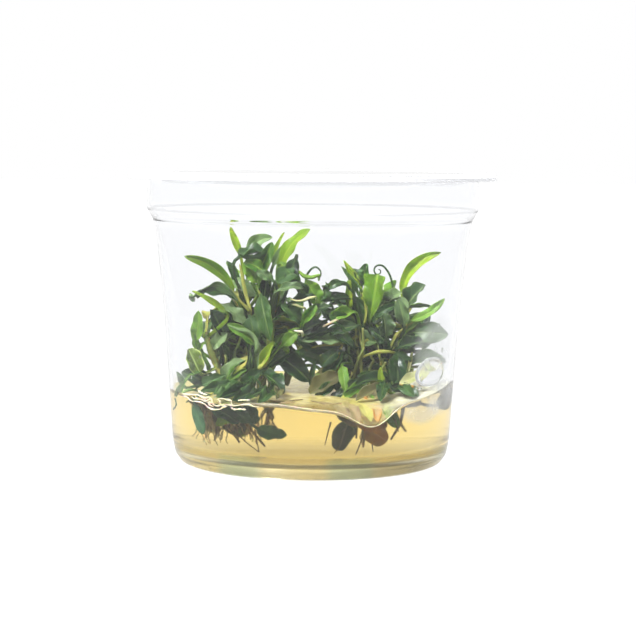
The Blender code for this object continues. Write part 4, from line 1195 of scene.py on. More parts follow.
def ridged(points):
    """The cup's points with a low ridge along the foot of the shoulder inside, fading out from the front.

    It stands RIDGE_DEPTH * cos(pi / 2 * across)^2 * front^3 off the wall, where across goes
    from -1 to 1 up the ridge and front is the cosine of the turn from the front.
    """
    points = points.copy()
    radius = np.maximum(np.hypot(points[:, 0], points[:, 1]), 1.0)
    rise = points[:, 2] - SHOULDER_BOTTOM
    across = rise / RIDGE_HALF - 1
    inside = (np.abs(across) < 1) & (radius < SHOULDER_RADIUS - WALL / 2 + RIDGE_SLOPE * rise)
    front = np.clip(-points[:, 1] / radius, 0.0, 1.0)
    depth = RIDGE_DEPTH * inside * np.cos(math.pi / 2 * across) ** 2 * front ** 3
    points[:, :2] *= (1 - depth / radius)[:, None]
    return points


def plastic(settings, name, roughness, *details):
    """The clear plastic of the cup and its film, frosted where the film is sealed on."""
    stuff = Clear(
        tuple(settings.tint), PLASTIC_IOR, PLASTIC_GLOSS, PLASTIC_INNER, settings.density, 0.00002, 60.0)
    return once(name, clear_skin, stuff, roughness, *details)


def wall_tint(settings):
    """The wall's colour: its tint in the air, and clearer where the gel wets it and along the shoulder."""
    def skin(finish):
        height = finish.axis("Z")
        side = finish.mix(finish.between(height, *WET_BAND), WET_TINT, tuple(settings.tint))
        ring = finish.between(height, *RING_STARTS) * (1.0 - finish.between(height, *RING_STOPS))
        return finish.mix(ring, side, RING_TINT)
    return skin


def painted_lit_foot(finish, body):
    """The body with the foot's hazy front over it, which fades out above the corner and to the back.

    The foot is painted pale amber and grey-green by turns, for the light of the gel and plants that shows
    through it, as cos(turn * x + start) goes up and down, and noise moves the places where one gives way to
    the other. It also has a faint painted glow in the same colours.
    """
    x, y, z = (finish.axis(name) for name in "XYZ")
    wave = (x * BASE_TURN + BASE_START).maths("COSINE")
    wander = finish.noise(55.0)
    # painted bands of the light that shows through the foot, which also set its painted glow
    bands = finish.mix(
        finish.between(wave + (wander - 0.5) * BASE_WANDER, *BASE_STEP), FOOT_PAINTED_AMBER, FOOT_PAINTED_GREY)
    frost_and_painted_light = finish.surface({
        "Base Color": bands, "Emission Color": bands, "Emission Strength": FOOT_PAINTED_GLOW,
        "Roughness": wander * 0.1 + 0.15, "IOR": PLASTIC_IOR, "Specular IOR Level": PLASTIC_GLOSS,
        "Transmission Weight": 1.0 - FOOT_FROST})
    low = (1.0 - finish.between(z, *FOOT_BAND)) * finish.between(x * x + y * y, *FOOT_EDGE)
    return finish.blend(low * (1.0 - finish.between(y, *FOOT_FRONT)), body, frost_and_painted_light)


class MakeCup(bpy.types.Operator):
    """Make the clear cup in one turned wall with soft edges"""
    bl_idname = "bucephalandra.make_cup"
    bl_label = "Clear cup"

    def execute(self, context):
        settings = context.scene.cup_settings
        surface = turned(rounded(cup_profile(), FILLET), settings.steps)
        surface.points[:] = ridged(surface.points)
        sealed = face_middles(surface)[:, 2] > FLANGE_TOP - FLANGE_THICK - LIP_DROP - SEAL_MARGIN
        skins = [plastic(settings, "clear_plastic_wall", WALL_ROUGHNESS, 0.0, wall_tint(settings), painted_lit_foot),
                 plastic(settings, "frosted_rim", SEAL_ROUGHNESS, SEAL_FROST)]
        make_piece("clear_cup", surface, skins, "clear_plastic", ["cup"], sealed)
        return {"FINISHED"}


class MakeSealFilm(bpy.types.Operator):
    """Make the thin film, clear over the mouth and frosted where it is sealed on the flange"""
    bl_idname = "bucephalandra.make_seal_film"
    bl_label = "Seal film"

    def execute(self, context):
        settings = context.scene.cup_settings
        low, high = (corner.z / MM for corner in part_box("seal_film"))
        rings = np.linspace(0.0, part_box("seal_film")[1].x / MM, FILM_RINGS)
        profile = [(radius, low) for radius in rings] + [(radius, high) for radius in rings[::-1]]
        surface = turned(profile, settings.steps)
        sealed = np.hypot(*face_middles(surface)[:, :2].T) > COLLAR_RADIUS - WALL
        skins = [plastic(settings, "clear_film", FILM_ROUGHNESS),
                 plastic(settings, "sealed_film", SEAL_ROUGHNESS, SEAL_FROST)]
        make_piece("film_sheet", surface, skins, "seal_film", ["seal_film"], sealed)
        return {"FINISHED"}


def fog_skin(finish, strength):
    """Fine drops on the wall: a white skin whose cover fades out from its middle and clears in patches.

    The cover is strength * near * (0.45 * patches + 0.55). Near is a smooth step that goes
    from 0 at half the pattern's width off its middle to 1 at 0.28 of it. The skin also has a faint
    painted glow, for the white light that its drops scatter.
    """
    apart = finish.node(
        "ShaderNodeVectorMath", {0: finish.pattern(), 1: (0.5, 0.5, 0.0)}, "Value", operation="DISTANCE")
    near = finish.between(0.5 - apart, 0.0, 0.22)
    patches = finish.between(finish.noise(150.0, 3.0), 0.30, 0.62)
    drops = finish.noise(1500.0)
    base = finish.mix(drops, (0.90, 0.92, 0.90), (0.97, 0.98, 0.96))
    return finish.finished(finish.surface({
        "Base Color": base, "Roughness": drops * 0.2 + 0.4, "Normal": finish.bump(drops, 0.00005),
        "Alpha": near * (patches * 0.45 + 0.55) * strength,
        # painted glow, which stands in for the white light that the drops scatter
        "Emission Color": base, "Emission Strength": FOG_PAINTED_GLOW}))


def wall_patch(turn, height, half_turn, half_height):
    """A thin patch on the inside of the wall: its rings stand side by side round the axis, and each
    goes up the wall on one face of the patch and down on the other."""
    up = np.linspace(-1, 1, FOG_ROWS)
    up = np.concatenate([up, up[::-1]])
    heights = height + half_height * up
    radii = inner_radius(heights) - np.repeat(FOG_DEPTHS, FOG_ROWS)
    angle = np.radians(turn + half_turn * np.linspace(-1, 1, FOG_COLUMNS))[:, None]
    across = np.repeat(across_rows(shares(FOG_COLUMNS)), 2 * FOG_ROWS, 1)
    along = np.repeat((up[None] + 1) / 2, FOG_COLUMNS, 0)
    return closed_tube(from_front(radii, angle, heights), np.stack([across, along], -1))


def wall_drop(turn, height, half_wide, half_high, depth):
    """A drop on the inside of the wall: rings from its middle to its edge on the dome, and back on the wall.

    A ring at share s stands depth * sqrt(1 - s^2) inside the wall on the dome. The lower
    half of the drop is a little flatter than its upper half.
    """
    share = np.linspace(DROP_MIDDLE, 1, DROP_RINGS)
    share = across_rows(np.concatenate([share, share[::-1]]))
    dome = across_rows(np.repeat([1.0, 0.0], DROP_RINGS))
    angle = angles(DROP_STEPS)[None]
    heights = height + half_high * share * np.sin(angle) * (1 + DROP_LIFT * np.sin(angle))
    radii = inner_radius(heights) + DROP_SINK - dome * (depth * np.sqrt(1 - share ** 2) + DROP_SINK * 0.5)
    turns = math.radians(turn) + half_wide * share * np.cos(angle) / radii
    return closed_tube(from_front(radii, turns, heights))


class MakeFog(bpy.types.Operator):
    """Make the fogged patches and the water drops inside the cup's wall"""
    bl_idname = "bucephalandra.make_fog"
    bl_label = "Fog on the wall"

    def execute(self, context):
        for number, (*place, strength) in enumerate(FOGS, 1):
            skin = fog_skin(Finish(f"fog_{int(strength * 100)}"), strength)
            make_piece(f"fogged_patch_{number}", wall_patch(*place), [skin], "clear_plastic")
        water = once("water", clear_skin, WATER, 0.0)
        make_piece("water_drops", joined([wall_drop(*drop) for drop in DROPS]), [water], "clear_plastic")
        return {"FINISHED"}


# Gel

def gel_top(x, y):
    """The height of the gel's top: the level, the swells as rise * exp(-(distance / reach)^2), a low
    ripple sin * sin along X and Y, and at the wall a creep of CREEP * exp(-gap / CREEP_REACH)."""
    height = np.full(np.shape(x), GEL_LEVEL)
    for centre_x, centre_y, rise, reach in GEL_SWELLS:
        height = height + rise * np.exp(-((x - centre_x) ** 2 + (y - centre_y) ** 2) / reach ** 2)
    (turn_x, turn_y), (start_x, start_y) = GEL_RIPPLE_TURNS, GEL_RIPPLE_STARTS
    height = height + GEL_RIPPLE * np.sin(turn_x * x + start_x) * np.sin(turn_y * y + start_y)
    gap = np.maximum(inner_radius(height) - np.hypot(x, y), 0.0)
    return height + CREEP * np.exp(-gap / CREEP_REACH)


def gel_skin(finish, settings):
    """The gel's top: part clear and part a cream film, dull and finely wrinkled, and clearer at the front."""
    wrinkles = finish.noise(260.0, 4.0, roughness=0.6, distortion=0.8)
    froth = finish.between(finish.axis("X"), *FROTH_BAND)
    streaks = finish.between(finish.noise(330.0, 5.0, roughness=0.7, distortion=1.8), 0.50, 0.62)
    ripple = finish.between(wrinkles, 0.35, 0.65)
    cream = finish.mix(froth, finish.mix(ripple, *SKIN_CREAM), finish.mix(ripple, *FROTH_CREAM))
    cream = finish.mix(streaks * (froth * 0.7 + 0.2), cream, STREAK_CREAM)
    off_front = finish.between(finish.axis("Y"), *SKIN_OPENS)
    film = finish.surface({
        "Base Color": cream, "Roughness": wrinkles * 0.2 + 0.4, "IOR": GEL_IOR,
        "Normal": finish.bump(wrinkles + streaks * froth * 0.6, 0.0004)})
    clear = finish.surface({
        "Base Color": WHITE, "Roughness": 0.2, "IOR": GEL_IOR, "Transmission Weight": 1.0,
        "Normal": finish.bump(wrinkles, 0.0003)})
    cover = (wrinkles * 0.5 + SKIN_COVER + froth * 0.35) * (off_front * 0.75 + 0.25)
    both = finish.blend(cover, clear, film)
    return finish.clear(both, SKIN_SHADE, tuple(settings.colour), settings.density)


def gel_surface(steps):
    """The gel as rings: out over its top, down the wall, round the cup's inner corner and in under it.

    The top's rings crowd towards the wall. Its edge is found by turns: the top's height at
    the edge gives the wall's radius there, which gives the edge.
    """
    angle = angles(steps)
    edge = inner_radius(GEL_LEVEL) - GEL_GAP
    for _ in range(EDGE_TURNS):
        edge = inner_radius(gel_top(edge * np.cos(angle), edge * np.sin(angle))) - GEL_GAP
    radius = across_rows(1.0 - (1.0 - shares(TOP_RINGS)[1:]) ** TOP_CROWDS) * edge
    top = round_axis(radius, angle, gel_top(radius * np.cos(angle), radius * np.sin(angle)))
    rim = top[-1, :, 2]
    heights = rim + (INNER_CORNER[-1][1] - rim) * across_rows(shares(SIDE_RINGS)[1:])
    side = round_axis(inner_radius(heights) - GEL_GAP, angle, heights)
    under = rounded([*INNER_CORNER[::-1], (FLOOR_EDGE, FLOOR_TOP), (0.0, FLOOR_TOP)], FILLET)[1:-1]
    under = under + [-GEL_GAP, GEL_GAP]
    rings = np.concatenate([top, side, round_axis(under[:, :1], angle, under[:, 1:])])
    surface = closed_tube(rings[::-1])
    surface.points[-2:] = [(0, 0, FLOOR_TOP + GEL_GAP), (0, 0, gel_top(0.0, 0.0))]
    return surface


class MakeGel(bpy.types.Operator):
    """Make the nutrient gel, which fills the cup to its wall and closes round what grows in it"""
    bl_idname = "bucephalandra.make_gel"
    bl_label = "Nutrient gel"

    def execute(self, context):
        settings = context.scene.gel_settings
        surface = gel_surface(settings.steps)
        stuff = Clear(WHITE, GEL_IOR, 0.5, tuple(settings.colour), settings.density, 0.00005, 120.0)
        skins = [once("amber_gel", clear_skin, stuff, GEL_HAZE), once("gel_skin", gel_skin, settings)]
        middle = face_middles(surface)
        on_top = middle[:, 2] > gel_top(middle[:, 0], middle[:, 1]) - SKIN_DEPTH
        make_piece("nutrient_gel", surface, skins, "nutrient_gel", ["gel"], on_top)
        return {"FINISHED"}


# Plant

def blade_share(u, ends):
    """The blade's width at a share of its length: u^rise * (1 - u)^fall over its own highest value."""
    rise, fall = ends
    widest = rise / (rise + fall)
    return u ** rise * (1 - u) ** fall / (widest ** rise * (1 - widest) ** fall)


def shoot_point(name, share):
    """The point of a shoot's middle line at a share of its height."""
    points = np.array(SHOOTS[name])
    place = share * (len(points) - 1)
    return np.array([np.interp(place, range(len(points)), points[:, axis]) for axis in range(3)])


def leaf_spine(leaf, rows):
    """A leaf's middle line, its share along the blade, and the direction across it.

    The petiole is a cubic curve from the shoot's skin to the knee, which starts lower
    and dives for a leaf in the gel, and the blade a quadratic one whose middle stands
    off its chord by the arch and the sway.
    """
    knee, tip, face = np.array(leaf.knee), np.array(leaf.tip), np.array(leaf.face)
    drowned = leaf.knee[2] < GEL_LEVEL
    root = shoot_point(leaf.stem, leaf.share) - [0.0, 0.0, DROWNED_DEPTH * drowned]
    outward = unit(np.array([knee[0] - root[0], knee[1] - root[1], 0.0]))
    chord = tip - knee
    side = unit(np.cross(chord, face))
    normal = unit(np.cross(side, chord))
    bulge = (knee + tip) / 2 + 2 * (normal * leaf.arch + side * leaf.sway)
    reach = np.linalg.norm(knee - root) / 3
    first = root + unit(outward + [0.0, 0.0, DROWNED_DIVE if drowned else 1.0]) * reach
    second = knee - unit(bulge - knee) * reach
    t = across_rows(np.linspace(0, 1, rows[0], endpoint=False))
    petiole = (1 - t) ** 3 * root + 3 * (1 - t) ** 2 * t * first
    petiole = petiole + 3 * (1 - t) * t ** 2 * second + t ** 3 * knee
    t = shares(rows[1])
    blade_line = bent(knee, bulge, tip, across_rows(t))
    return np.concatenate([petiole, blade_line]), np.concatenate([np.zeros(rows[0]), t]), side


def blade(spine, u, side, width, thick, dice, cup, ring, sink=0.0):
    """A blade as rings of a flat ellipse along its spine, for widths and thicknesses given row by row.

    A ring point at angle a has across = cos a and through = sin a, and goes to spine +
    side * across * width / 2 + up * (vee * |across| + cup * across^2 + wave - fold +
    thickness * through / 2). The wave is a sine along the blade that grows with across^2,
    so the rim ripples, and the fold is a groove exp(-(across / its reach)^2) over the
    midrib. The whole blade turns about its spine by a twist that grows along it, and its
    last part sinks by sink * (share - 0.5)^2.
    """
    ahead = unit(np.gradient(spine, axis=0))
    side = unit(side - ahead * (ahead @ side)[:, None])
    up = np.cross(side, ahead)
    spine = spine - up * across_rows(width.max() * sink * np.clip(u - 0.5, 0, 1) ** 2)
    twist = across_rows(dice.uniform(-TWIST, TWIST) * u ** TWIST_GROWTH)
    side, up = side * np.cos(twist) + up * np.sin(twist), up * np.cos(twist) - side * np.sin(twist)
    angle = angles(ring)
    across, through = np.cos(angle)[None], np.sin(angle)[None]
    turns, phase = dice.uniform(*RIPPLE_TURNS), dice.uniform(0, 2 * math.pi)
    wide, thick = across_rows(width), across_rows(thick)
    ripple = RIPPLE * wide * np.sin(2 * math.pi * turns * across_rows(u) + phase + RIPPLE_LEAN * across)
    lift = across ** 2 * (cup * wide / width.max() + ripple)
    lift = lift - FOLD * wide * np.exp(-(across / FOLD_REACH) ** 2)
    lift = lift + wide * dice.uniform(*VEE) * np.sqrt(across ** 2 + VEE_SOFT)
    rings = spine[:, None] + side[:, None] * (across * wide / 2)[..., None]
    rings = rings + up[:, None] * (lift + through * thick / 2)[..., None]
    pattern = np.stack([np.repeat(across_rows(u), ring, 1), np.repeat((across + 1) / 2, len(u), 0)], -1)
    return closed_tube(rings, pattern, dice.uniform(0.0, 1.0))


def leaf_surface(leaf, dice, rows=LEAF_ROWS, ring=LEAF_RING):
    """A leaf: its petiole is a stalk nearly as thick as it is wide, and its blade follows blade_share."""
    spine, u, side = leaf_spine(leaf, rows)
    share = np.clip(blade_share(u, LEAF_LOOKS[leaf.finish].ends), 0.0, 1.0)
    width = np.maximum(leaf.width * share, PETIOLE_WIDTH * (u < PETIOLE_SHARE))
    thick = np.where(u > 0, LEAF_THICK * (LEAF_EDGE + LEAF_EDGE * share), PETIOLE_WIDTH * PETIOLE_FLAT)
    cup = leaf.cup + leaf.width * dice.uniform(*LEAF_CUPS)
    sink = dice.uniform(0.0, RECURVE) if rows == INNER_ROWS else 0.0
    return blade(spine, u, side, np.maximum(width, LEAST_WIDTH), thick, dice, cup, ring, sink)


def strip_surface(dice, width, depth, points):
    """A strip along its points and back into the tuft, whose width is the given one times
    (4 * share * (1 - share))^0.3, so that both ends are blunt."""
    points = [(x, depth, z) for x, z in points]
    points.append(tuple(np.add(points[-1], STRIP_FOOT)))
    u = shares(8 * len(points))
    share = np.clip(4 * u * (1 - u), 0.002, 1) ** 0.3
    return blade(
        smooth_route(points, len(u)), u, np.array(STRIP_SIDE), width * share, STRIP_THICK * share, dice,
        STRIP_CUP, STRIP_RING)


def leaf_piece(name, surfaces, kind, stands_for=()):
    """One piece from leaves of one kind."""
    look = LEAF_LOOKS[kind]
    make_piece(name, joined(surfaces), [once(kind + "_leaf_skin", leaf_skin, look)], look.slot, stands_for)


class MakeLeaves(bpy.types.Operator):
    """Make each leaf that is a solid in the part, in its place"""
    bl_idname = "bucephalandra.make_leaves"
    bl_label = "Leaves"

    def execute(self, context):
        dice = np.random.default_rng(SEED)
        for side, leaves in (("left", LEFT_LEAVES), ("right", RIGHT_LEAVES)):
            for number, leaf in enumerate(leaves, 1):
                node = f"{side}_leaf_{number:02d}"
                leaf_piece(f"{side}_blade_{number:02d}", [leaf_surface(leaf, dice)], leaf.finish, [node])
        return {"FINISHED"}


class MakeSmallLeaves(bpy.types.Operator):
    """Make the smaller leaves between them, one piece for each tuft and kind"""
    bl_idname = "bucephalandra.make_small_leaves"
    bl_label = "Small leaves"

    def execute(self, context):
        dice = np.random.default_rng(SEED + 1)
        for side in TUFTS:
            for kind in LEAF_LOOKS:
                leaves = [leaf_surface(leaf, dice) for leaf in SMALL_LEAVES + FRONT_LEAVES
                          if leaf.finish == kind and leaf.stem.startswith(side)]
                if leaves:
                    leaf_piece(f"{side}_small_{kind}_leaves", leaves, kind)
        return {"FINISHED"}


class MakeStrips(bpy.types.Operator):
    """Make the narrow curled leaves, bare petioles and dead scraps, one piece for each finish"""
    bl_idname = "bucephalandra.make_strips"
    bl_label = "Curled leaves and petioles"

    def execute(self, context):
        dice = np.random.default_rng(SEED + 6)
        for kind in sorted(STRIPS):
            leaf_piece(f"curled_{kind}_leaves", [strip_surface(dice, *strip) for strip in STRIPS[kind]], kind)
        return {"FINISHED"}


def inner_leaves(side, dice):
    """Leaves drawn at random on a tuft's shoots: kept where the tip stays in the tuft's egg,
    ((tip - middle) / reach)^2 < 1, over the gel, and knee and tip behind the listed leaves."""
    tuft = TUFTS[side]
    shoots = [name for name in SHOOTS if name.startswith(side)]
    leaves = []
    while len(leaves) < tuft.leaves:
        stem, share = shoots[dice.integers(len(shoots))], dice.uniform(*INNER_SHARES)
        turn = dice.uniform(0, 2 * math.pi)
        outward = np.array([math.cos(turn), math.sin(turn), 0.0])
        knee = shoot_point(stem, share) + outward * dice.uniform(*INNER_REACH)
        knee = knee + [0, 0, dice.uniform(*INNER_RISE)]
        heading = unit(outward + [*dice.normal(0, INNER_SPREAD, 2), dice.uniform(*INNER_PITCH)])
        length = dice.uniform(*INNER_LENGTHS)
        tip = knee + heading * length
        inside = (((tip - tuft.middle) / tuft.reach) ** 2).sum() < 1 and tip[2] > GEL_LEVEL + INNER_CLEAR
        if not inside or min(tip[1], knee[1]) < INNER_FRONT:
            continue
        face = unit(INNER_LEAN * outward + [*dice.normal(0, INNER_ROLL, 2), 1.0])
        leaves.append(Leaf(
            stem, share, tuple(knee), tuple(tip), length * dice.uniform(*INNER_WIDTHS), tuple(face),
            INNER_KINDS[dice.integers(len(INNER_KINDS))], dice.uniform(*INNER_ARCHES),
            dice.normal(0, INNER_SWAY)))
    return leaves


class MakeInnerLeaves(bpy.types.Operator):
    """Make the leaves that fill the inside and the back of each tuft"""
    bl_idname = "bucephalandra.make_inner_leaves"
    bl_label = "Inner leaves"

    def execute(self, context):
        dice = np.random.default_rng(SEED + 2)
        for side in TUFTS:
            leaves = inner_leaves(side, dice)
            for kind in sorted(set(INNER_KINDS)):
                chosen = [leaf_surface(leaf, dice, INNER_ROWS, INNER_RING) for leaf in leaves
                          if leaf.finish == kind]
                leaf_piece(f"{side}_inner_{kind}_leaves", chosen, kind)
        return {"FINISHED"}


class MakeDrownedLeaves(bpy.types.Operator):
    """Make the leaves that have sunk in the gel"""
    bl_idname = "bucephalandra.make_drowned_leaves"
    bl_label = "Drowned leaves"

    def execute(self, context):
        dice = np.random.default_rng(SEED + 3)
        for kind in sorted({leaf.finish for leaf in DROWNED_LEAVES}):
            leaves = [leaf_surface(leaf, dice) for leaf in DROWNED_LEAVES if leaf.finish == kind]
            leaf_piece(f"drowned_{kind}_leaves", leaves, kind)
        return {"FINISHED"}


def wandering(start, end, sway, dice):
    """A route from start to end that sways off the straight line: along each axis by a sum of two sines
    of the share, held to nothing at the start."""
    share = across_rows(shares(WANDER_STEPS))
    turns, phases = dice.uniform(*WANDER_TURNS, (2, 3)), dice.uniform(0, 2 * math.pi, (2, 3))
    slow = np.sin(2 * math.pi * turns[0] * share + phases[0])
    waves = slow + 0.5 * np.sin(4 * math.pi * turns[1] * share + phases[1])
    return np.array(start) + (np.array(end) - start) * share + sway * share ** 0.7 * (waves - waves[0])


class MakeStalks(bpy.types.Operator):
    """Make the bare stalks between the shoots, pale yellow-green"""
    bl_idname = "bucephalandra.make_stalks"
    bl_label = "Bare stalks"

    def execute(self, context):
        dice = np.random.default_rng(SEED + 4)
        for side, tuft in TUFTS.items():
            stalks = []
            for _ in range(tuft.stalks):
                place = int(dice.uniform(*STALK_SHARES) * (RHIZOME_PLACES - 1))
                start = smooth_route(RHIZOMES[side], RHIZOME_PLACES)[place]
                start = start + [0.0, dice.uniform(*STALK_DEPTHS), PLACE_OFF]
                lean = [dice.uniform(*span) for span in STALK_LEANS]
                route = wandering(start, start + lean, STALK_SWAY, dice)
                stalks.append(tube(route, np.linspace(*STALK_RADII, len(route)), 10, dice.uniform(0, 1)))
            make_piece(side + "_bare_stalks", joined(stalks), [once("stalk_skin", stalk_skin)], "stem")
        return {"FINISHED"}


class MakeFineRoots(bpy.types.Operator):
    """Make the fine roots that hang from each rhizome into the gel, with the longer ones in front"""
    bl_idname = "bucephalandra.make_fine_roots"
    bl_label = "Fine roots"

    def execute(self, context):
        dice = np.random.default_rng(SEED + 5)
        for side, points in RHIZOMES.items():
            roots = []
            for _ in range(FINE_ROOTS[side]):
                start = smooth_route(points, RHIZOME_PLACES)[dice.integers(*FINE_ROOT_PLACES[side])]
                start = start - [0.0, dice.uniform(*FINE_ROOT_DEPTHS), PLACE_OFF]
                sideways, forwards, down = (dice.uniform(*span) for span in FINE_ROOT_FALLS)
                route = wandering(start, start + [sideways, forwards, -down], FINE_ROOT_SWAY, dice)
                route[:, 2] = np.maximum(route[:, 2], FLOOR_TOP + FINE_ROOT_CLEAR)
                roots.append(tube(route, np.linspace(*FINE_ROOT_RADII, len(route)), 8))
            make_piece(side + "_fine_roots", joined(roots), [once("root_skin", root_skin)], "rhizome")
        longer = [tube(smooth_route(points, 40), radius * np.linspace(1.0, 0.5, 40))
                  for radius, points in DROWNED_ROOTS]
        make_piece("long_roots", joined(longer), [once("rhizome_skin", rhizome_skin)], "rhizome")
        return {"FINISHED"}


def on_wall(route, depth):
    """A route of (x, anything, height) points moved to the front of the wall's inside, this deep under it."""
    route[:, 1] = -np.sqrt((inner_radius(route[:, 2]) - depth) ** 2 - route[:, 0] ** 2)
    return route


def thinned(share, steepness, least):
    """How thick a thread is by its share: steepness * share * (1 - share), held between least and 1."""
    return np.clip(steepness * share * (1 - share), least, 1)


class MakeThreads(bpy.types.Operator):
    """Make the pale threads stuck to the wall, the roots on the gel's top, and the painted highlight along
    the gel's edge
    """
    bl_idname = "bucephalandra.make_threads"
    bl_label = "Roots on the gel"

    def execute(self, context):
        pale = []
        for points in WALL_THREADS:
            route = smooth_route([(x, 0.0, height) for x, height in points], 12 * len(points))
            share = shares(len(route))
            swell = (1 + 0.35 * np.sin(23 * share + points[0][0])) * thinned(share, 18, 0.3)
            pale.append(tube(on_wall(route, WALL_THREAD), WALL_THREAD * swell))
        leaf_piece("pale_threads", pale, "cream")
        brown = []
        for points in TOP_THREADS:
            route = smooth_route([(x, y, 0.0) for x, y in points], 14 * len(points))
            route[:, 2] = gel_top(route[:, 0], route[:, 1]) + 0.5 * TOP_THREAD
            brown.append(tube(route, TOP_THREAD * thinned(shares(len(route)), 14, 0.2), 8))
        make_piece("brown_threads", joined(brown), [once("rhizome_skin", rhizome_skin)], "rhizome")
        # painted highlight: a cream thread for the bright line of the meniscus
        leaf_piece("painted_meniscus_highlight", [meniscus_highlight_thread()], "cream")
        return {"FINISHED"}


def meniscus_highlight_thread():
    """A painted highlight along the gel's edge: a pale cream thread round the wall, uneven and thicker
    towards the right.
    """
    angle = np.radians(np.linspace(*HIGHLIGHT_REACH, HIGHLIGHT_STEPS))
    route = from_front(inner_radius(GEL_LEVEL) - 0.6 * HIGHLIGHT_THICK, angle, 0.0)
    route[:, 2] = gel_top(route[:, 0], route[:, 1]) + 0.3 * HIGHLIGHT_THICK
    share = shares(HIGHLIGHT_STEPS)
    swell = (0.7 + 0.6 * share) * (1 + 0.3 * np.sin(61 * share) * np.sin(23 * share))
    return tube(route, HIGHLIGHT_THICK * (swell * thinned(share, 9, 0.1)))


def blunt(share, steepness, least):
    """How thick a route is by its share: 1, but at its end the square root of the share left * steepness,
    held over least."""
    return np.sqrt(np.clip((1 - share) * steepness, least, 1))


class MakeTendrils(bpy.types.Operator):
    """Make the young leaves that are still rolled up, as thin curls"""
    bl_idname = "bucephalandra.make_tendrils"
    bl_label = "Tendrils"

    def execute(self, context):
        for name, points, thick in TENDRILS:
            share = shares(16 * len(points))
            radii = thick * (1 - 0.6 * share) * blunt(share, 20, 0.05)
            leaf_piece(name, [tube(smooth_route(points, len(share)), radii, 12)], "dark")
        return {"FINISHED"}


class MakeShoots(bpy.types.Operator):
    """Make the upright shoots, with a ring where each leaf has fallen"""
    bl_idname = "bucephalandra.make_shoots"
    bl_label = "Shoots"

    def execute(self, context):
        for name, points in SHOOTS.items():
            share = shares(60)
            radii = SHOOT_RADIUS * np.interp(share * 3, range(4), SHOOT_TAPER)
            radii = radii * (1 + SCAR_RISE * np.abs(np.sin(share * SHOOT_SCARS * math.pi)) ** 6)
            radii = radii * blunt(share, 12, 0.02)
            make_piece(
                name.replace("stem", "shoot"), tube(smooth_route(points, len(share)), radii, 18),
                [once("shoot_skin", shoot_skin)], "stem", [name])
        return {"FINISHED"}


class MakeRhizomes(bpy.types.Operator):
    """Make each creeping rhizome with its thick roots"""
    bl_idname = "bucephalandra.make_rhizomes"
    bl_label = "Rhizomes"

    def execute(self, context):
        share = shares(70)
        radii = RHIZOME_RADIUS * (1 - 0.35 * np.abs(2 * share - 1) ** 3)
        radii = radii * (1 + RHIZOME_WAVE * np.sin(share * RHIZOME_WAVES))
        radii = radii * np.sqrt(np.clip(share * 14, 0.02, 1) * np.clip((1 - share) * 14, 0.02, 1))
        for side, points in RHIZOMES.items():
            parts = [tube(smooth_route(points, len(share)), radii, 22)]
            for root in ROOTS[side]:
                parts.append(tube(smooth_route(root, 40), ROOT_RADIUS * (1 - 0.5 * shares(40)), 12))
            make_piece(
                side + "_creeping_rhizome", joined(parts), [once("rhizome_skin", rhizome_skin)], "rhizome",
                [side + "_rhizome"])
        return {"FINISHED"}


# Stage

class StageSettings(bpy.types.PropertyGroup):
    """Camera, light and floor."""
    camera_distance: bpy.props.FloatProperty(
        name="Camera distance", description="From the cup's axis to the camera", default=0.506, unit="LENGTH")
    camera_height: bpy.props.FloatProperty(
        name="Camera height", description="Of the camera over the floor", default=0.0817, unit="LENGTH")
    aim: bpy.props.FloatVectorProperty(
        name="Aim", description="Point on the axis plane in the middle of the picture", subtype="TRANSLATION",
        default=(0.0016, 0.0, 0.0373))
    roll: bpy.props.FloatProperty(
        name="Roll", description="Turn of the camera about its view", unit="ROTATION",
        default=math.radians(0.5))
    lens: bpy.props.FloatProperty(name="Lens", description="Focal length in millimetres", default=110.3)
    floor_glow: bpy.props.FloatProperty(
        name="Floor glow", description="How strongly the floor shines of itself, which thins the shade on it",
        default=0.955, min=0.0)
    floor_light: bpy.props.FloatProperty(
        name="Floor light", description="How strongly the floor lights the dull surfaces over it",
        default=0.25, min=0.0)
    world_light: bpy.props.FloatProperty(
        name="World", description="Strength of the white surround as a light", default=0.25)


def add_soft_light(name, towards, strength, spread):
    """A far light that shines in one direction, softened over an angle in degrees."""
    light = bpy.data.lights.new(name, "SUN")
    light.energy, light.angle = strength, math.radians(spread)
    lamp = bpy.data.objects.new(name, light)
    lamp.rotation_euler = Vector(towards).to_track_quat("-Z", "Y").to_euler()
    lamp.visible_transmission = False
    bpy.context.scene.collection.objects.link(lamp)


def white_surround(strength):
    """A surround that is plain white to the eye and in gloss, and softer as a light on dull surfaces."""
    finish = Finish("white_surround", bpy.data.worlds, "ShaderNodeOutputWorld")
    level = finish.looked_at() * (1.0 - strength) + strength
    return finish.finished(finish.node("ShaderNodeBackground", {"Color": colour(WHITE), "Strength": level}))


def cloth(finish, grain, shades, roughness, shine, glows):
    """Surfaces of one dull grey, which goes from one shade to the other with the grain. Each shines of
    itself by its own glow."""
    base = finish.mix(grain, *((shade,) * 3 for shade in shades))
    return [finish.surface({
        "Base Color": base, "Roughness": grain * 0.1 + roughness, "Emission Color": shine,
        "Emission Strength": glow}) for glow in glows]


def stage_sheet(name, corners, material):
    """A flat sheet of the stage through four corners."""
    mesh = bpy.data.meshes.new(name)
    mesh.from_pydata(corners, [], [(0, 1, 2, 3)])
    mesh.materials.append(material)
    sheet = bpy.data.objects.new(name, mesh)
    bpy.context.scene.collection.objects.link(sheet)
    return sheet


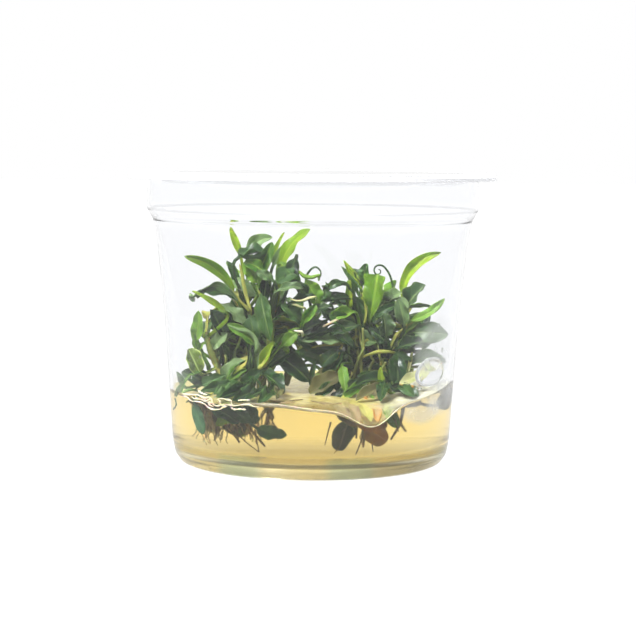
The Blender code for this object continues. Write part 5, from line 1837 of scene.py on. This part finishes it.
def make_floor(settings):
    """A floor that is nearly white to the eye, and softer as a light on dull surfaces."""
    finish = Finish("pale_floor")
    grain = finish.noise(30.0)
    shine = finish.mix(grain, WHITE, (1.02, 1.02, 1.02))
    lit, seen = cloth(finish, grain, (0.03, 0.04), 0.8, shine, (settings.floor_light, settings.floor_glow))
    paint = finish.finished(finish.blend(finish.looked_at(), lit, seen))
    half = FLOOR_HALF
    stage_sheet("floor", [(-half, -half, 0), (half, -half, 0), (half, half, 0), (-half, half, 0)], paint)


def make_card():
    """A card behind the camera, seen only in reflections.

    It is white to the cup's outside and dark to what stands behind a clear wall, so that the
    leaves' gloss has a dark side.
    """
    finish = Finish("dark_card_cloth")
    white, dark = cloth(finish, finish.noise(40.0), (0.02, 0.04), 0.85, WHITE, (1.0, 0.0))
    behind = finish.ray("Transmission Depth").maths("MINIMUM", 1.0)
    paint = finish.finished(finish.blend(behind, white, dark))
    x, y, z = CARD_REACH
    card = stage_sheet("dark_card", [(-x, -y, 0), (-x, -y, z), (x, -y, z), (x, -y, 0)], paint)
    card.visible_camera = card.visible_diffuse = card.visible_transmission = card.visible_shadow = False


def make_camera(settings):
    """The camera, which looks at the aim and is turned about its view by the roll."""
    data = bpy.data.cameras.new("camera")
    data.lens, data.sensor_width = settings.lens, SENSOR
    data.clip_start, data.clip_end = CLIPS
    camera = bpy.data.objects.new("camera", data)
    camera.location = (0.0, -settings.camera_distance, settings.camera_height)
    view = (Vector(settings.aim) - camera.location).to_track_quat("-Z", "Y")
    camera.rotation_euler = (view @ Quaternion((0.0, 0.0, 1.0), settings.roll)).to_euler()
    bpy.context.scene.collection.objects.link(camera)
    bpy.context.scene.camera = camera


class MakeStage(bpy.types.Operator):
    """Make the pale floor, the soft lights and the camera"""
    bl_idname = "bucephalandra.make_stage"
    bl_label = "Stage"

    def execute(self, context):
        scene, settings = context.scene, context.scene.stage_settings
        make_floor(settings)
        make_card()
        scene.world = white_surround(settings.world_light)
        for light in LIGHTS:
            add_soft_light(*light)
        make_camera(settings)
        scene.view_settings.view_transform = "Standard"
        scene.cycles.max_bounces = scene.cycles.transmission_bounces = CLEAR_BOUNCES
        scene.cycles.transparent_max_bounces = CLEAR_BOUNCES
        return {"FINISHED"}


# Add-on

class BucephalandraPanel(bpy.types.Panel):
    """Lists what can be made"""
    bl_idname = "VIEW3D_PT_bucephalandra"
    bl_label = "Bucephalandra"
    bl_space_type = "VIEW_3D"
    bl_region_type = "UI"
    bl_category = "Bucephalandra"

    def draw(self, context):
        for maker in MAKERS:
            self.layout.operator(maker.bl_idname)
        for group, settings in SETTINGS.items():
            box = self.layout.box()
            for name in settings.__annotations__:
                box.prop(getattr(context.scene, group), name)


SETTINGS = {"cup_settings": CupSettings, "gel_settings": GelSettings, "stage_settings": StageSettings}
MAKERS = [
    MakeStage, MakeCup, MakeSealFilm, MakeGel, MakeRhizomes, MakeShoots, MakeLeaves, MakeSmallLeaves,
    MakeInnerLeaves, MakeDrownedLeaves, MakeStrips, MakeThreads, MakeFog, MakeStalks, MakeFineRoots,
    MakeTendrils]


def register():
    """Register the settings, the operators and the panel."""
    for made in [*SETTINGS.values(), *MAKERS, BucephalandraPanel]:
        bpy.utils.register_class(made)
    for group, settings in SETTINGS.items():
        setattr(bpy.types.Scene, group, bpy.props.PointerProperty(type=settings))


def unregister():
    """Take the settings, the operators and the panel away again."""
    for group in SETTINGS:
        delattr(bpy.types.Scene, group)
    for made in reversed([*SETTINGS.values(), *MAKERS, BucephalandraPanel]):
        bpy.utils.unregister_class(made)


def main():
    """Make every piece and the stage."""
    register()
    for maker in MAKERS:
        category, name = maker.bl_idname.split(".")
        getattr(getattr(bpy.ops, category), name)()
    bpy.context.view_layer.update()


if __name__ == "__main__":
    main()
